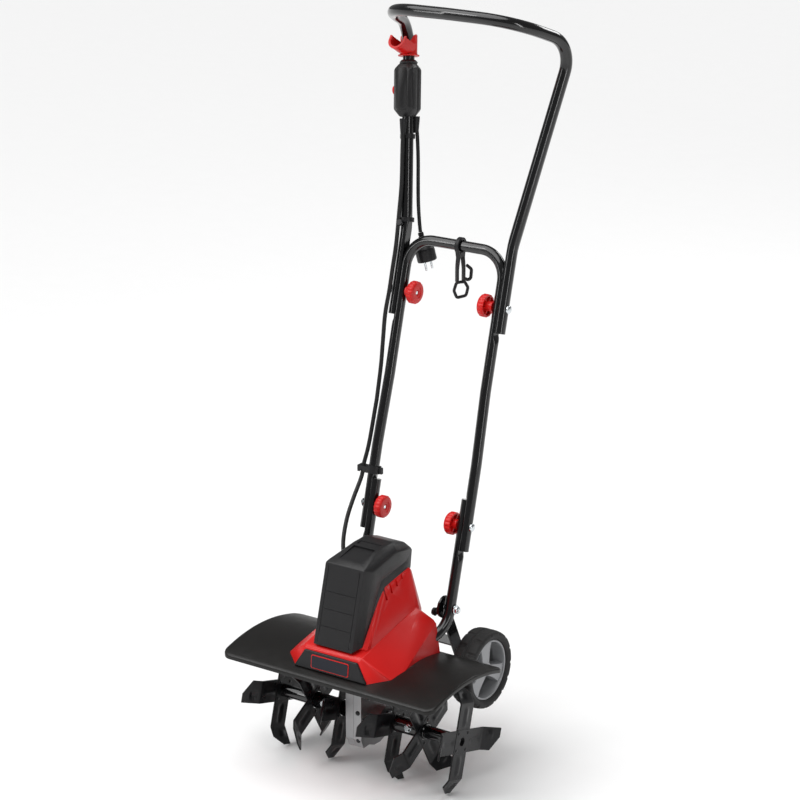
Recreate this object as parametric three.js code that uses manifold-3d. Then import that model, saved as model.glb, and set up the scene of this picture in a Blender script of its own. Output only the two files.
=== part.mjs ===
// Electric garden tiller: six four-bladed tine stars on a worm-driven axle, a cast gearbox leg, a motor
// housing over an arched guard, two transport wheels on a swing bracket and a folding three-part handle.
// Millimetres and degrees. X runs across the machine, -Y is its front and Z is up. The origin is on the
// ground under the middle of the whole machine. Dimensions are given in a working frame whose y = 0 is
// the tine axle; the last lines move the finished machine over its origin.
import * as THREE from 'three';
import { ConvexGeometry } from 'three/addons/geometries/ConvexGeometry.js';
import { mergeVertices } from 'three/addons/utils/BufferGeometryUtils.js';
import Module from 'manifold-3d';

const wasm = await Module();
wasm.setup();

// ---------------------------------------------------------------- driving dimensions
const GAP = 0.4;
const AXLE_Z = 105;

const TINE_HUB_HALF = 22;
const TINE_BLADE_WIDTH = 43;
const TINE_CREASE_RADIUS = 70;
const TINE_END_LENGTH = 37;
const TINE_END_CUT = [26, 18];
const TINE_END_BEND = 32;
const TINE_PLATE = 3;
const TINE_PHASE = -16;
const STAR_X = { inner: 60, middle: 122, outer: 200 };

const AXLE_RADIUS = 8;
const SLEEVE_RADIUS = 15;
const SLEEVE_TIP_RADIUS = 12;
const SLEEVE_START_X = 37;
const SLEEVE_STEP_X = 126;
const SLEEVE_BOLT_X = 94;

const GEARBOX_HALF_X = 17;
const GEARBOX_WALL = 5;
const GEARBOX_FRONT_Y = -53;
const GEARBOX_REAR_Y = 40;
const GEARBOX_CHAMBER_RADIUS = 52;
const GEARBOX_TOP_Z = 265;
const GEARBOX_BOSS_RADIUS = 25;
const GEARBOX_BOSS_X = 35;
const BEARING_X = [24, 33];
const BEARING_RADIUS = 15.6;
const WORM_Y = -38;
const WORM_RADIUS = 8;
const WORM_WHEEL_TIP_RADIUS = 29.4;
const WORM_WHEEL_TEETH = 30;
const WORM_WHEEL_HALF = 7;

const GUARD_HALF_X = 232;
const GUARD_FRONT = [-145, 224];
const GUARD_CROWN = [-10, 243];
const GUARD_REAR = [93, 222];
const GUARD_SHEET = 3;
const GUARD_LIP = 8;
const GUARD_CORNER = 18;

const HOUSING_WALL = 3;
const MOTOR_STATOR_RADIUS = 35;

const LOWER_PIVOT = { y: 153, z: 451 };
const LEAN = 0.2685;
const UPPER_PIVOT_Z = 840;
const FRAME_TUBE_RADIUS = 10;
const HANDLE_TUBE_RADIUS = 11;
const TUBE_WALL = 1.6;
const ARC_STEP = Math.PI / 9;
const LOWER_FRAME_X = 101;
const LOWER_FRAME_TOP_Z = 498;
const LOWER_FRAME_BASE_Z = 255;
const MIDDLE_LOWER_X = 109.5;
const MIDDLE_UPPER_X = 105.5;
const MIDDLE_BOTTOM_Z = 407;
const MIDDLE_BAR_Z = 936;
const MIDDLE_BEND = 52;
const HANDLE_X = 115.5;
const HANDLE_BOTTOM_Z = 796;
const HANDLE_KINK_Z = 945;
const HANDLE_SPLAY = 0.167;
const HANDLE_KNEE_Z = 1309.5;
const HANDLE_REACH = 145;
const HANDLE_REACH_TILT = 68.4;
const HANDLE_TOE_IN = 40;
const HANDLE_BOW = 12;
const LOWER_JOINT_FACE_X = 104.2;
const UPPER_JOINT_FACE_X = 109.2;
const JOINT_OVERLAP = 54;
const JOINT_BOLT_RADIUS = 4;

const KNOB_RADIUS = 21.5;
const KNOB_DISC = [70, 84];

const BRACKET_PIVOT = { y: 113.5, z: 302 };
const WHEEL_CENTRE = { x: 126, y: 178.6, z: 166 };
const WHEEL_RADIUS = 75;
const RIM_RADIUS = 57.5;
const WHEEL_WIDTH = 46;
const WHEEL_AXLE_RADIUS = 6;
const ARM_X = [84, 88];

const SWITCH_BOX_Z = [1146, 1243];
const SWITCH_LEVER_Z = 1253;
const CORD_RADIUS = 4;
const HOOK_TWIST = -30;

// ---------------------------------------------------------------- colours
const RED = 0xcd1916;
const COVER_BLACK = 0x2d2c2e;
const GLOSS_BLACK = 0x0d0d0f;
const PLASTIC_BLACK = 0x161617;
const TINE_BLACK = 0x24242a;
const CAST = 0xa4a6a8;
const ZINC = 0xc9ced1;
const RIM_GREY = 0xb9bbbd;
const RUBBER = 0x1b1b1c;
const COPPER = 0xa86a3a;
const BRASS = 0xb08d4a;

const paint = (color, roughness, metalness) =>
  new THREE.MeshStandardMaterial({ color, roughness, metalness });
const redPlastic = () => paint(RED, 0.42, 0);
const coverPlastic = () => paint(COVER_BLACK, 0.5, 0);
const glossPaint = () => paint(GLOSS_BLACK, 0.25, 0.3);
const blackPlastic = () => paint(PLASTIC_BLACK, 0.55, 0);
const tinePaint = () => paint(TINE_BLACK, 0.4, 0.4);
const castAlloy = () => paint(CAST, 0.55, 0.8);
const zincSteel = () => paint(ZINC, 0.3, 0.9);
const plainSteel = () => paint(0x8f9296, 0.4, 0.9);
const rubber = () => paint(RUBBER, 0.85, 0);

// ---------------------------------------------------------------- helpers
const group = new THREE.Group();

const vec = (x, y, z) => new THREE.Vector3(x, y, z);
const mirrorX = (p) => vec(-p.x, p.y, p.z);

/** The Y of the leaning plane that the handle's legs lie in, at height z. */
const leanY = (z) => LOWER_PIVOT.y + LEAN * (z - LOWER_PIVOT.z);
const UPPER_PIVOT = { y: leanY(UPPER_PIVOT_Z), z: UPPER_PIVOT_Z };

/** A manifold solid from a closed three.js geometry. */
function solid(geometry) {
  const bare = geometry.index ? geometry.toNonIndexed() : geometry.clone();
  bare.deleteAttribute('normal');
  bare.deleteAttribute('uv');
  const merged = mergeVertices(bare, 1e-4);
  const mesh = new wasm.Mesh({
    numProp: 3,
    vertProperties: new Float32Array(merged.attributes.position.array),
    triVerts: new Uint32Array(merged.index.array),
  });
  return new wasm.Manifold(mesh);
}

/** A three.js geometry from a manifold solid. */
function shape(manifold) {
  const mesh = manifold.getMesh();
  const geometry = new THREE.BufferGeometry();
  geometry.setAttribute('position', new THREE.BufferAttribute(new Float32Array(mesh.vertProperties), 3));
  geometry.setIndex(new THREE.BufferAttribute(new Uint32Array(mesh.triVerts), 1));
  geometry.computeVertexNormals();
  return geometry;
}

/** Adds one named part, from a geometry or a manifold solid. */
function part(name, body, material) {
  const geometry = body.isBufferGeometry ? body : shape(body);
  const mesh = new THREE.Mesh(geometry, material);
  mesh.name = name;
  group.add(mesh);
  return mesh;
}

/** A cylinder between two points. */
function rod(a, b, radius, sides = 12) {
  const axis = b.clone().sub(a);
  const geometry = new THREE.CylinderGeometry(radius, radius, axis.length(), sides);
  const turn = new THREE.Quaternion().setFromUnitVectors(vec(0, 1, 0), axis.clone().normalize());
  geometry.applyQuaternion(turn);
  geometry.translate(...a.clone().add(b).multiplyScalar(0.5).toArray());
  return geometry;
}

const rodX = (x1, x2, y, z, radius, sides = 12) => rod(vec(x1, y, z), vec(x2, y, z), radius, sides);

/** A block between two corners. */
function block(x1, x2, y1, y2, z1, z2) {
  const geometry = new THREE.BoxGeometry(Math.abs(x2 - x1), Math.abs(y2 - y1), Math.abs(z2 - z1));
  geometry.translate((x1 + x2) / 2, (y1 + y2) / 2, (z1 + z2) / 2);
  return geometry;
}

/** A lathed solid around the X axis through (y, z); the profile holds [x, radius] pairs. */
function latheX(profile, y, z, sides = 12) {
  const points = profile.map(([x, r]) => new THREE.Vector2(r, x));
  const closed = profile[0][1] === 0 ? points : [...points, points[0].clone()];
  const geometry = new THREE.LatheGeometry(closed, sides);
  geometry.rotateZ(-Math.PI / 2);
  geometry.translate(0, y, z);
  return orient(geometry);
}

/** A lathed solid around the Z axis through (x, y); the profile holds [z, radius] pairs. */
function latheZ(profile, x, y, sides = 12) {
  const points = profile.map(([z, r]) => new THREE.Vector2(r, z));
  const closed = profile[0][1] === 0 ? points : [...points, points[0].clone()];
  const geometry = new THREE.LatheGeometry(closed, sides);
  geometry.rotateX(Math.PI / 2);
  geometry.translate(x, y, 0);
  return orient(geometry);
}

/** Turns a closed geometry's faces outwards if its signed volume is negative. */
function orient(geometry) {
  const bare = geometry.index ? geometry.toNonIndexed() : geometry.clone();
  bare.deleteAttribute('normal');
  bare.deleteAttribute('uv');
  const p = bare.attributes.position;
  const a = new THREE.Vector3();
  const b = new THREE.Vector3();
  const c = new THREE.Vector3();
  let volume = 0;
  for (let i = 0; i < p.count; i += 3) {
    a.fromBufferAttribute(p, i);
    b.fromBufferAttribute(p, i + 1);
    c.fromBufferAttribute(p, i + 2);
    volume += a.dot(b.clone().cross(c));
  }
  if (volume < 0) {
    for (let i = 0; i < p.count; i += 3) {
      b.fromBufferAttribute(p, i + 1);
      c.fromBufferAttribute(p, i + 2);
      p.setXYZ(i + 1, c.x, c.y, c.z);
      p.setXYZ(i + 2, b.x, b.y, b.z);
    }
  }
  const merged = mergeVertices(bare, 1e-4);
  merged.computeVertexNormals();
  return merged;
}

/** The convex solid around some points. */
const hull = (points) => new ConvexGeometry(points);

/** Points given for +X, with their mirror images. */
const bothSides = (points) => points.flatMap(([x, y, z]) => [vec(x, y, z), vec(-x, y, z)]);

/** Points moved inwards (or outwards, if negative) by a wall on each axis. */
function inset(points, wall) {
  const box = new THREE.Box3().setFromPoints(points);
  const centre = box.getCenter(new THREE.Vector3());
  const half = box.getSize(new THREE.Vector3()).multiplyScalar(0.5);
  const scale = vec(1 - wall / half.x, 1 - wall / half.y, 1 - wall / half.z);
  return points.map((p) => p.clone().sub(centre).multiply(scale).add(centre));
}

/** A polyline whose extrusion has one section at each of its points. */
class PolylineCurve extends THREE.Curve {
  constructor(points) {
    super();
    this.points = points;
  }

  getPoint(t) {
    const at = Math.min(Math.max(t, 0), 1) * (this.points.length - 1);
    const i = Math.min(Math.floor(at), this.points.length - 2);
    return this.points[i].clone().lerp(this.points[i + 1], at - i);
  }

  getUtoTmapping(u) {
    return u;
  }
}

/** Corner points joined by straights and arcs; radii[i] rounds corner i, in pieces of about ARC_STEP. */
function roundedPath(corners, radii) {
  const out = [corners[0]];
  for (let i = 1; i < corners.length - 1; i += 1) {
    const corner = corners[i];
    const back = corners[i - 1].clone().sub(corner);
    const ahead = corners[i + 1].clone().sub(corner);
    const u = back.clone().normalize();
    const w = ahead.clone().normalize();
    const opening = u.angleTo(w);
    const reach = Math.min(radii[i] / Math.tan(opening / 2), 0.49 * back.length(), 0.49 * ahead.length());
    const radius = reach * Math.tan(opening / 2);
    const centre = u.clone().add(w).normalize().multiplyScalar(radius / Math.sin(opening / 2)).add(corner);
    const from = u.clone().multiplyScalar(reach).add(corner).sub(centre);
    const to = w.clone().multiplyScalar(reach).add(corner).sub(centre);
    const sweep = Math.PI - opening;
    const steps = Math.max(1, Math.ceil(sweep / ARC_STEP));
    for (let k = 0; k <= steps; k += 1) {
      const f = k / steps;
      const p = from.clone().multiplyScalar(Math.sin((1 - f) * sweep) / Math.sin(sweep));
      p.addScaledVector(to, Math.sin(f * sweep) / Math.sin(sweep));
      out.push(p.add(centre));
    }
  }
  out.push(corners[corners.length - 1]);
  return out;
}

const polygon = (radius, sides) =>
  Array.from({ length: sides }, (_, i) => {
    const a = (2 * Math.PI * i) / sides;
    return new THREE.Vector2(radius * Math.cos(a), radius * Math.sin(a));
  });

/** A round bar along a polyline, hollow where bore is given. */
function bar(points, radius, sides = 12, bore = 0) {
  const circle = new THREE.Shape(polygon(radius, sides));
  if (bore) circle.holes.push(new THREE.Path(polygon(bore, sides).reverse()));
  const extrudePath = new PolylineCurve(points);
  const geometry = new THREE.ExtrudeGeometry(circle, { steps: points.length - 1, extrudePath });
  return orient(geometry);
}

/** A prism: [u, v] outline in a plane, drawn out along the third axis. */
function prismX(outline, x1, x2) {
  const shape2d = new THREE.Shape(outline.map(([y, z]) => new THREE.Vector2(y, z)));
  const geometry = new THREE.ExtrudeGeometry(shape2d, { depth: x2 - x1, bevelEnabled: false });
  // local x, y, z become world y, z, x
  geometry.applyMatrix4(new THREE.Matrix4().set(0, 0, 1, x1, 1, 0, 0, 0, 0, 1, 0, 0, 0, 0, 0, 1));
  return orient(geometry);
}

const arcPoints = (cy, cz, radius, from, to, steps) =>
  Array.from({ length: steps + 1 }, (_, i) => {
    const a = THREE.MathUtils.degToRad(from + ((to - from) * i) / steps);
    return [cy + radius * Math.cos(a), cz + radius * Math.sin(a)];
  });

// ---------------------------------------------------------------- tines and their axle
/** One four-bladed star in the plane x; alternate blade ends bend to +X and -X. */
function tineStar(x, phase, firstBend, bore) {
  const half = TINE_BLADE_WIDTH / 2;
  const r = TINE_CREASE_RADIUS;
  const h = TINE_HUB_HALF;
  let star = null;
  const join = (geometry) => {
    const piece = solid(geometry);
    star = star ? star.add(piece) : piece;
  };
  join(block(-TINE_PLATE / 2, TINE_PLATE / 2, -h, h, -h, h));
  for (let k = 0; k < 4; k += 1) {
    const turn = THREE.MathUtils.degToRad(90 * k);
    const blade = block(-TINE_PLATE / 2, TINE_PLATE / 2, -half, half, 0, r);
    blade.rotateX(turn);
    join(blade);
    // the end: one corner cut off, bent about the crease
    const l = TINE_END_LENGTH;
    const [cutAcross, cutAlong] = TINE_END_CUT;
    const outline = [[-half, -1], [half, -1], [half, l - cutAlong], [cutAcross - half, l], [-half, l]];
    const end = prismX(outline, -TINE_PLATE / 2, TINE_PLATE / 2);
    const side = k % 2 === 0 ? firstBend : -firstBend;
    end.rotateY(THREE.MathUtils.degToRad(TINE_END_BEND) * side);
    end.translate(0, 0, r);
    end.rotateX(turn);
    join(end);
  }
  star = star.subtract(solid(rodX(-10, 10, 0, 0, bore, 12)));
  const geometry = shape(star);
  geometry.rotateX(THREE.MathUtils.degToRad(phase));
  geometry.translate(x, 0, AXLE_Z);
  return geometry;
}

/** Holes across the axle and the sleeves for the sleeve bolts. */
function sleeveBoltAxis(side) {
  const along = vec(0, -1, 0).applyAxisAngle(vec(1, 0, 0), THREE.MathUtils.degToRad(TINE_PHASE));
  const centre = vec(side * SLEEVE_BOLT_X, 0, AXLE_Z);
  return { centre, along };
}

function sleeveBoltHole(side, radius) {
  const { centre, along } = sleeveBoltAxis(side);
  const a = centre.clone().addScaledVector(along, -30);
  const b = centre.clone().addScaledVector(along, 30);
  return solid(rod(a, b, radius, 8));
}

function buildDrive() {
  let axle = solid(rodX(-118, 118, 0, AXLE_Z, AXLE_RADIUS, 12));
  for (const side of [-1, 1]) axle = axle.subtract(sleeveBoltHole(side, JOINT_BOLT_RADIUS + 0.3));
  part('tine_axle', axle, plainSteel());

  const wheel = [];
  const root = WORM_WHEEL_TIP_RADIUS - 3;
  for (let i = 0; i < WORM_WHEEL_TEETH; i += 1) {
    for (const [offset, radius] of [[-0.3, root], [0, WORM_WHEEL_TIP_RADIUS]]) {
      const a = (2 * Math.PI * (i + offset)) / WORM_WHEEL_TEETH;
      wheel.push([radius * Math.cos(a), AXLE_Z + radius * Math.sin(a)]);
    }
  }
  const wheelBore = solid(rodX(-WORM_WHEEL_HALF - 2, WORM_WHEEL_HALF + 2, 0, AXLE_Z, AXLE_RADIUS + GAP, 14));
  const wormWheel = solid(prismX(wheel, -WORM_WHEEL_HALF, WORM_WHEEL_HALF)).subtract(wheelBore);
  part('worm_wheel', wormWheel, paint(BRASS, 0.35, 0.9));

  for (const [sideName, side] of [['left', -1], ['right', 1]]) {
    const profile = [
      [side * SLEEVE_START_X, AXLE_RADIUS + GAP],
      [side * SLEEVE_START_X, SLEEVE_RADIUS + 3],
      [side * (SLEEVE_START_X + 4), SLEEVE_RADIUS + 3],
      [side * (SLEEVE_START_X + 6), SLEEVE_RADIUS],
      [side * SLEEVE_STEP_X, SLEEVE_RADIUS],
      [side * SLEEVE_STEP_X, SLEEVE_TIP_RADIUS],
      [side * (STAR_X.outer - 2), SLEEVE_TIP_RADIUS],
      [side * (STAR_X.outer - 2), AXLE_RADIUS + GAP],
    ];
    const hole = sleeveBoltHole(side, JOINT_BOLT_RADIUS + 0.3);
    const sleeve = solid(latheX(profile, 0, AXLE_Z, 12)).subtract(hole);
    part(`tine_sleeve_${sideName}`, sleeve, glossPaint());

    const { centre, along } = sleeveBoltAxis(side);
    const at = (d) => centre.clone().addScaledVector(along, d);
    const bolt = solid(rod(at(-22), at(SLEEVE_RADIUS + 0.5), JOINT_BOLT_RADIUS - 0.3, 8)).add(
      solid(rod(at(SLEEVE_RADIUS + GAP), at(SLEEVE_RADIUS + 6), 7, 6)),
    );
    part(`sleeve_bolt_${sideName}`, bolt, zincSteel());

    const stars = [
      ['inner', TINE_PHASE, 1, SLEEVE_RADIUS + 1],
      ['middle', TINE_PHASE + 45, 1, SLEEVE_RADIUS + 1],
      ['outer', TINE_PHASE, -1, AXLE_RADIUS],
    ];
    for (const [place, phase, bend, bore] of stars) {
      const star = tineStar(side * STAR_X[place], phase, side * bend, bore);
      part(`tine_star_${place}_${sideName}`, star, tinePaint());
    }
  }
}

// ---------------------------------------------------------------- gearbox and motor
function buildGearbox() {
  const chamber = GEARBOX_CHAMBER_RADIUS;
  const outline = [
    [GEARBOX_FRONT_Y, GEARBOX_TOP_Z],
    [GEARBOX_FRONT_Y, 78],
    [GEARBOX_FRONT_Y + 8, 60],
    ...arcPoints(0, AXLE_Z, chamber, 238, 395, 8),
    [GEARBOX_REAR_Y, GEARBOX_TOP_Z],
  ];
  const cavity = solid(rodX(-11, 11, 0, AXLE_Z, WORM_WHEEL_TIP_RADIUS + 2, 14)).add(
    solid(rod(vec(0, WORM_Y, 72), vec(0, WORM_Y, GEARBOX_TOP_Z + 5), WORM_RADIUS + 2, 16)),
  );
  const bores = solid(rodX(-60, 60, 0, AXLE_Z, AXLE_RADIUS + GAP, 14))
    .add(solid(rodX(-60, -GEARBOX_BOSS_X + 12, 0, AXLE_Z, BEARING_RADIUS + GAP, 20)))
    .add(solid(rodX(GEARBOX_BOSS_X - 12, 60, 0, AXLE_Z, BEARING_RADIUS + GAP, 20)));
  const pocketHalf = GEARBOX_HALF_X - GEARBOX_WALL;
  const pocketRear = GEARBOX_REAR_Y - GEARBOX_WALL;
  const rearPocket = solid(block(-pocketHalf, pocketHalf, -16, pocketRear, 165, GEARBOX_TOP_Z - 3));
  for (const [sideName, side] of [['left', -1], ['right', 1]]) {
    const inner = side * GAP * 0.5;
    const outer = side * GEARBOX_HALF_X;
    let half = solid(prismX(outline, Math.min(inner, outer), Math.max(inner, outer)));
    half = half.add(solid(rodX(outer - side * 2, side * GEARBOX_BOSS_X, 0, AXLE_Z, GEARBOX_BOSS_RADIUS, 14)));
    for (const z of [150, 185, 220]) {
      half = half.add(solid(block(outer - side, outer + side * 4, -30, 34, z, z + 4)));
    }
    half = half.subtract(cavity).subtract(bores).subtract(rearPocket);
    part(`gearbox_half_${sideName}`, half, castAlloy());
    const [b1, b2] = BEARING_X.map((x) => side * x);
    const bearing = [
      [b1, AXLE_RADIUS + GAP], [b1, BEARING_RADIUS], [b2, BEARING_RADIUS], [b2, AXLE_RADIUS + GAP],
    ];
    part(`axle_bearing_${sideName}`, latheX(bearing, 0, AXLE_Z, 12), plainSteel());
  }
}

function buildMotor() {
  const worm = [[78, 0], [78, 5]];
  for (let z = 84; z < 128; z += 9) worm.push([z, 5], [z + 2, WORM_RADIUS], [z + 5, WORM_RADIUS], [z + 7, 5]);
  worm.push([400, 5], [400, 0]);
  part('armature_shaft', latheZ(worm, 0, WORM_Y, 10), plainSteel());
  const ring = (z1, z2, r1, r2) => [[z1, r1], [z1, r2], [z2, r2], [z2, r1]];
  part('armature_core', latheZ(ring(308, 362, 5.3, 22), 0, WORM_Y), paint(COPPER, 0.4, 0.8));
  part('motor_stator', latheZ(ring(302, 368, 24, MOTOR_STATOR_RADIUS), 0, WORM_Y), plainSteel());
  part('upper_motor_bearing', latheZ(ring(384, 393, 5.3, 13), 0, WORM_Y, 16), plainSteel());
  let fan = solid(latheZ(ring(280, 284, 5.3, 32), 0, WORM_Y));
  for (let i = 0; i < 8; i += 1) {
    const blade = block(-1, 1, 12, 30, 283, 294);
    blade.rotateZ((Math.PI * i) / 4);
    blade.translate(0, WORM_Y, 0);
    fan = fan.add(solid(blade));
  }
  part('cooling_fan', fan, blackPlastic());
}

// ---------------------------------------------------------------- guard, housing and covers
/** The guard's top surface height over y: a parabola through its front, crown and rear edges. */
function guardZ(y) {
  const [[y1, z1], [y2, z2], [y3, z3]] = [GUARD_FRONT, GUARD_CROWN, GUARD_REAR];
  return (
    (z1 * (y - y2) * (y - y3)) / ((y1 - y2) * (y1 - y3)) +
    (z2 * (y - y1) * (y - y3)) / ((y2 - y1) * (y2 - y3)) +
    (z3 * (y - y1) * (y - y2)) / ((y3 - y1) * (y3 - y2))
  );
}

/** A slab that follows the guard's arch between two depths below its top surface. */
function archSlab(halfX, margin, top, bottom) {
  const steps = 6;
  const y1 = GUARD_FRONT[0] + margin;
  const y2 = GUARD_REAR[0] - margin;
  const ys = Array.from({ length: steps + 1 }, (_, i) => y1 + ((y2 - y1) * i) / steps);
  const upper = ys.map((y) => [y, guardZ(y) + top]);
  const lower = ys.map((y) => [y, guardZ(y) + bottom]).reverse();
  const outline = [...upper, ...lower];
  return solid(prismX(outline, -halfX, halfX));
}

/** An upright block with rounded corners, to trim the guard's plan. */
function roundedPlan(halfX, y1, y2, corner) {
  const plan = new THREE.Shape();
  plan.moveTo(-halfX + corner, y1);
  plan.lineTo(halfX - corner, y1);
  plan.absarc(halfX - corner, y1 + corner, corner, -Math.PI / 2, 0, false);
  plan.absarc(halfX - corner, y2 - corner, corner, 0, Math.PI / 2, false);
  plan.absarc(-halfX + corner, y2 - corner, corner, Math.PI / 2, Math.PI, false);
  plan.absarc(-halfX + corner, y1 + corner, corner, Math.PI, 1.5 * Math.PI, false);
  const geometry = new THREE.ExtrudeGeometry(plan, { depth: 200, bevelEnabled: false, curveSegments: 3 });
  geometry.translate(0, 0, 130);
  return solid(orient(geometry));
}

function buildGuard() {
  const outer = archSlab(GUARD_HALF_X, 0, 0, -GUARD_LIP).intersect(
    roundedPlan(GUARD_HALF_X, GUARD_FRONT[0], GUARD_REAR[0], GUARD_CORNER),
  );
  const w = GUARD_SHEET;
  const inner = archSlab(GUARD_HALF_X - w, w, -w, -GUARD_LIP - 5).intersect(
    roundedPlan(GUARD_HALF_X - w, GUARD_FRONT[0] + w, GUARD_REAR[0] - w, GUARD_CORNER - w),
  );
  const neckHalf = GEARBOX_HALF_X + 5;
  const neck = solid(block(-neckHalf, neckHalf, GEARBOX_FRONT_Y - 1, GEARBOX_REAR_Y + 1, 150, 300));
  part('tine_guard', outer.subtract(inner).subtract(neck), coverPlastic());
}

const BASE_POINTS = bothSides([
  [81, -123, 222], [59, -119, 268], [122, -90, 224], [108, 40, 222], [102, 80, 218], [66, 94, 218],
  [96, 74, 288], [62, 60, 314], [40, 96, 292], [62, -114, 274], [66, 88, 284],
]);
const TOWER_POINTS = bothSides([
  [62, -92, 276], [64, 70, 300], [46, -97, 284], [49, -44, 356], [49, -22, 377], [49, 58, 389],
  [48, 63, 384], [56, 86, 300], [46, 95, 280],
]);
const COVER_POINTS = bothSides([
  [42, -116, 278], [50, -95, 284], [42, -76, 424], [49, -56, 417], [47, 20, 431], [30, 30, 443],
  [30, -10, 441], [44, 60, 428], [30, 66, 432], [45, 71, 420], [46, 65, 386], [46, 0, 330],
]);
const PANEL_DEPTH = 5;
const PANEL_FACE = [[80, -126, 230], [58, -122.4, 267]];

/** The black front panel's solid, grown by clear for the recess that it sits in. */
function panelSolid(clear) {
  const points = PANEL_FACE.flatMap(([x, y, z], i) => {
    const out = i ? clear : -clear;
    const front = y - clear * 3;
    const rear = y + PANEL_DEPTH + clear;
    return [-x - clear, x + clear].flatMap((px) => [vec(px, front, z + out), vec(px, rear, z + out)]);
  });
  return solid(hull(points));
}

function buildHousing(framePath) {
  const w = HOUSING_WALL;
  const coverInner = solid(hull(inset(COVER_POINTS, w)));
  const towerGrown = solid(hull(inset(TOWER_POINTS, -GAP)));
  const baseGrown = solid(hull(inset(BASE_POINTS, -GAP)));
  const guardClear = archSlab(GUARD_HALF_X + 5, -10, 1.5, -90);
  const gearClear = solid(block(-26, 26, GEARBOX_FRONT_Y - 6, GEARBOX_REAR_Y + 6, 100, 262));
  let housing = solid(hull(BASE_POINTS)).add(solid(hull(TOWER_POINTS)));
  const floorCut = solid(hull([
    ...inset(BASE_POINTS, w),
    ...bothSides([[76, -112, 150], [103, -80, 150], [103, 70, 150]]),
  ]));
  housing = housing.subtract(floorCut).subtract(solid(hull(inset(TOWER_POINTS, w)))).subtract(coverInner);
  housing = housing.subtract(guardClear).subtract(gearClear).subtract(panelSolid(GAP));
  for (const path of framePath) housing = housing.subtract(solid(bar(path, FRAME_TUBE_RADIUS + 1.5, 8)));
  const cordEntry = solid(rod(vec(-90, 62, 325), vec(-66, 52, 280), CORD_RADIUS + 1, 12));
  housing = housing.subtract(cordEntry);
  part('motor_housing', largest(housing), redPlastic());

  const cover = solid(hull(COVER_POINTS)).subtract(coverInner).subtract(towerGrown).subtract(baseGrown);
  part('motor_cover', largest(cover), coverPlastic());
  part('front_panel', panelSolid(0).subtract(guardClear), blackPlastic());
}

/** The biggest separate piece of a solid. */
function largest(manifold) {
  const pieces = manifold.decompose();
  return pieces.reduce((a, b) => (b.volume() > a.volume() ? b : a));
}

// ---------------------------------------------------------------- handle frames
/** A tube along a path, cut flat where it lies against its neighbour in a joint. */
function tube(points, radius, cuts = []) {
  const hollow = solid(bar(points, radius, 8, radius - TUBE_WALL));
  return cuts.reduce((rest, cut) => rest.subtract(cut), hollow);
}

/** Blocks that flatten both legs beyond |x| = faceX, between two distances along the lean from a pivot. */
function flatCut(faceX, keepInside, pivot, below, above) {
  const far = keepInside ? faceX + 40 : faceX - 40;
  const blocks = [-1, 1].map((side) => {
    const slab = block(side * faceX, side * far, -40, 40, -below, above);
    slab.rotateX(-Math.atan(LEAN));
    slab.translate(0, pivot.y, pivot.z);
    return solid(slab);
  });
  return blocks[0].add(blocks[1]);
}

const pivotHole = (pivot) => solid(rodX(-160, 160, pivot.y, pivot.z, JOINT_BOLT_RADIUS + 0.4, 8));

function lowerFramePaths() {
  const z = LOWER_FRAME_TOP_Z;
  return [-1, 1].map((side) =>
    roundedPath(
      [
        vec(side * LOWER_FRAME_X, leanY(z), z),
        vec(side * (LOWER_FRAME_X - 1), 101, LOWER_FRAME_BASE_Z),
        vec(side * 66, -30, LOWER_FRAME_BASE_Z),
      ],
      [0, 60, 0],
    ),
  );
}

function buildLowerFrame(paths) {
  const cut = flatCut(LOWER_JOINT_FACE_X, true, LOWER_PIVOT, JOINT_OVERLAP, JOINT_OVERLAP);
  const bracketHole = solid(rodX(-160, 160, BRACKET_PIVOT.y, BRACKET_PIVOT.z, JOINT_BOLT_RADIUS + 0.4, 8));
  paths.forEach((path, i) => {
    const leg = tube(path, FRAME_TUBE_RADIUS, [cut]).subtract(pivotHole(LOWER_PIVOT)).subtract(bracketHole);
    part(`lower_frame_tube_${i ? 'right' : 'left'}`, largest(leg), glossPaint());
  });
  const plateZ = GEARBOX_TOP_Z + GAP;
  const shaftHole = rod(vec(0, WORM_Y, plateZ - 10), vec(0, WORM_Y, plateZ + 10), 14, 16);
  const plate = solid(block(-62, 62, -66, 40, plateZ, plateZ + 3)).subtract(solid(shaftHole));
  part('motor_mount_plate', plate, plainSteel());
}

function buildMiddleFrame() {
  const half = [
    vec(MIDDLE_LOWER_X, leanY(MIDDLE_BOTTOM_Z), MIDDLE_BOTTOM_Z),
    vec(MIDDLE_LOWER_X, leanY(560), 560),
    vec(MIDDLE_UPPER_X, leanY(690), 690),
    vec(MIDDLE_UPPER_X, leanY(MIDDLE_BAR_Z), MIDDLE_BAR_Z),
  ];
  const corners = [...half, ...half.map(mirrorX).reverse()];
  const path = roundedPath(corners, [0, 60, 60, MIDDLE_BEND, MIDDLE_BEND, 60, 60, 0]);
  const lowerCut = flatCut(LOWER_JOINT_FACE_X + GAP, false, LOWER_PIVOT, JOINT_OVERLAP, JOINT_OVERLAP);
  const upperCut = flatCut(UPPER_JOINT_FACE_X, true, UPPER_PIVOT, JOINT_OVERLAP, 110);
  const frame = tube(path, FRAME_TUBE_RADIUS, [lowerCut, upperCut])
    .subtract(pivotHole(LOWER_PIVOT))
    .subtract(pivotHole(UPPER_PIVOT));
  part('middle_frame', largest(frame), glossPaint());
}

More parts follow.
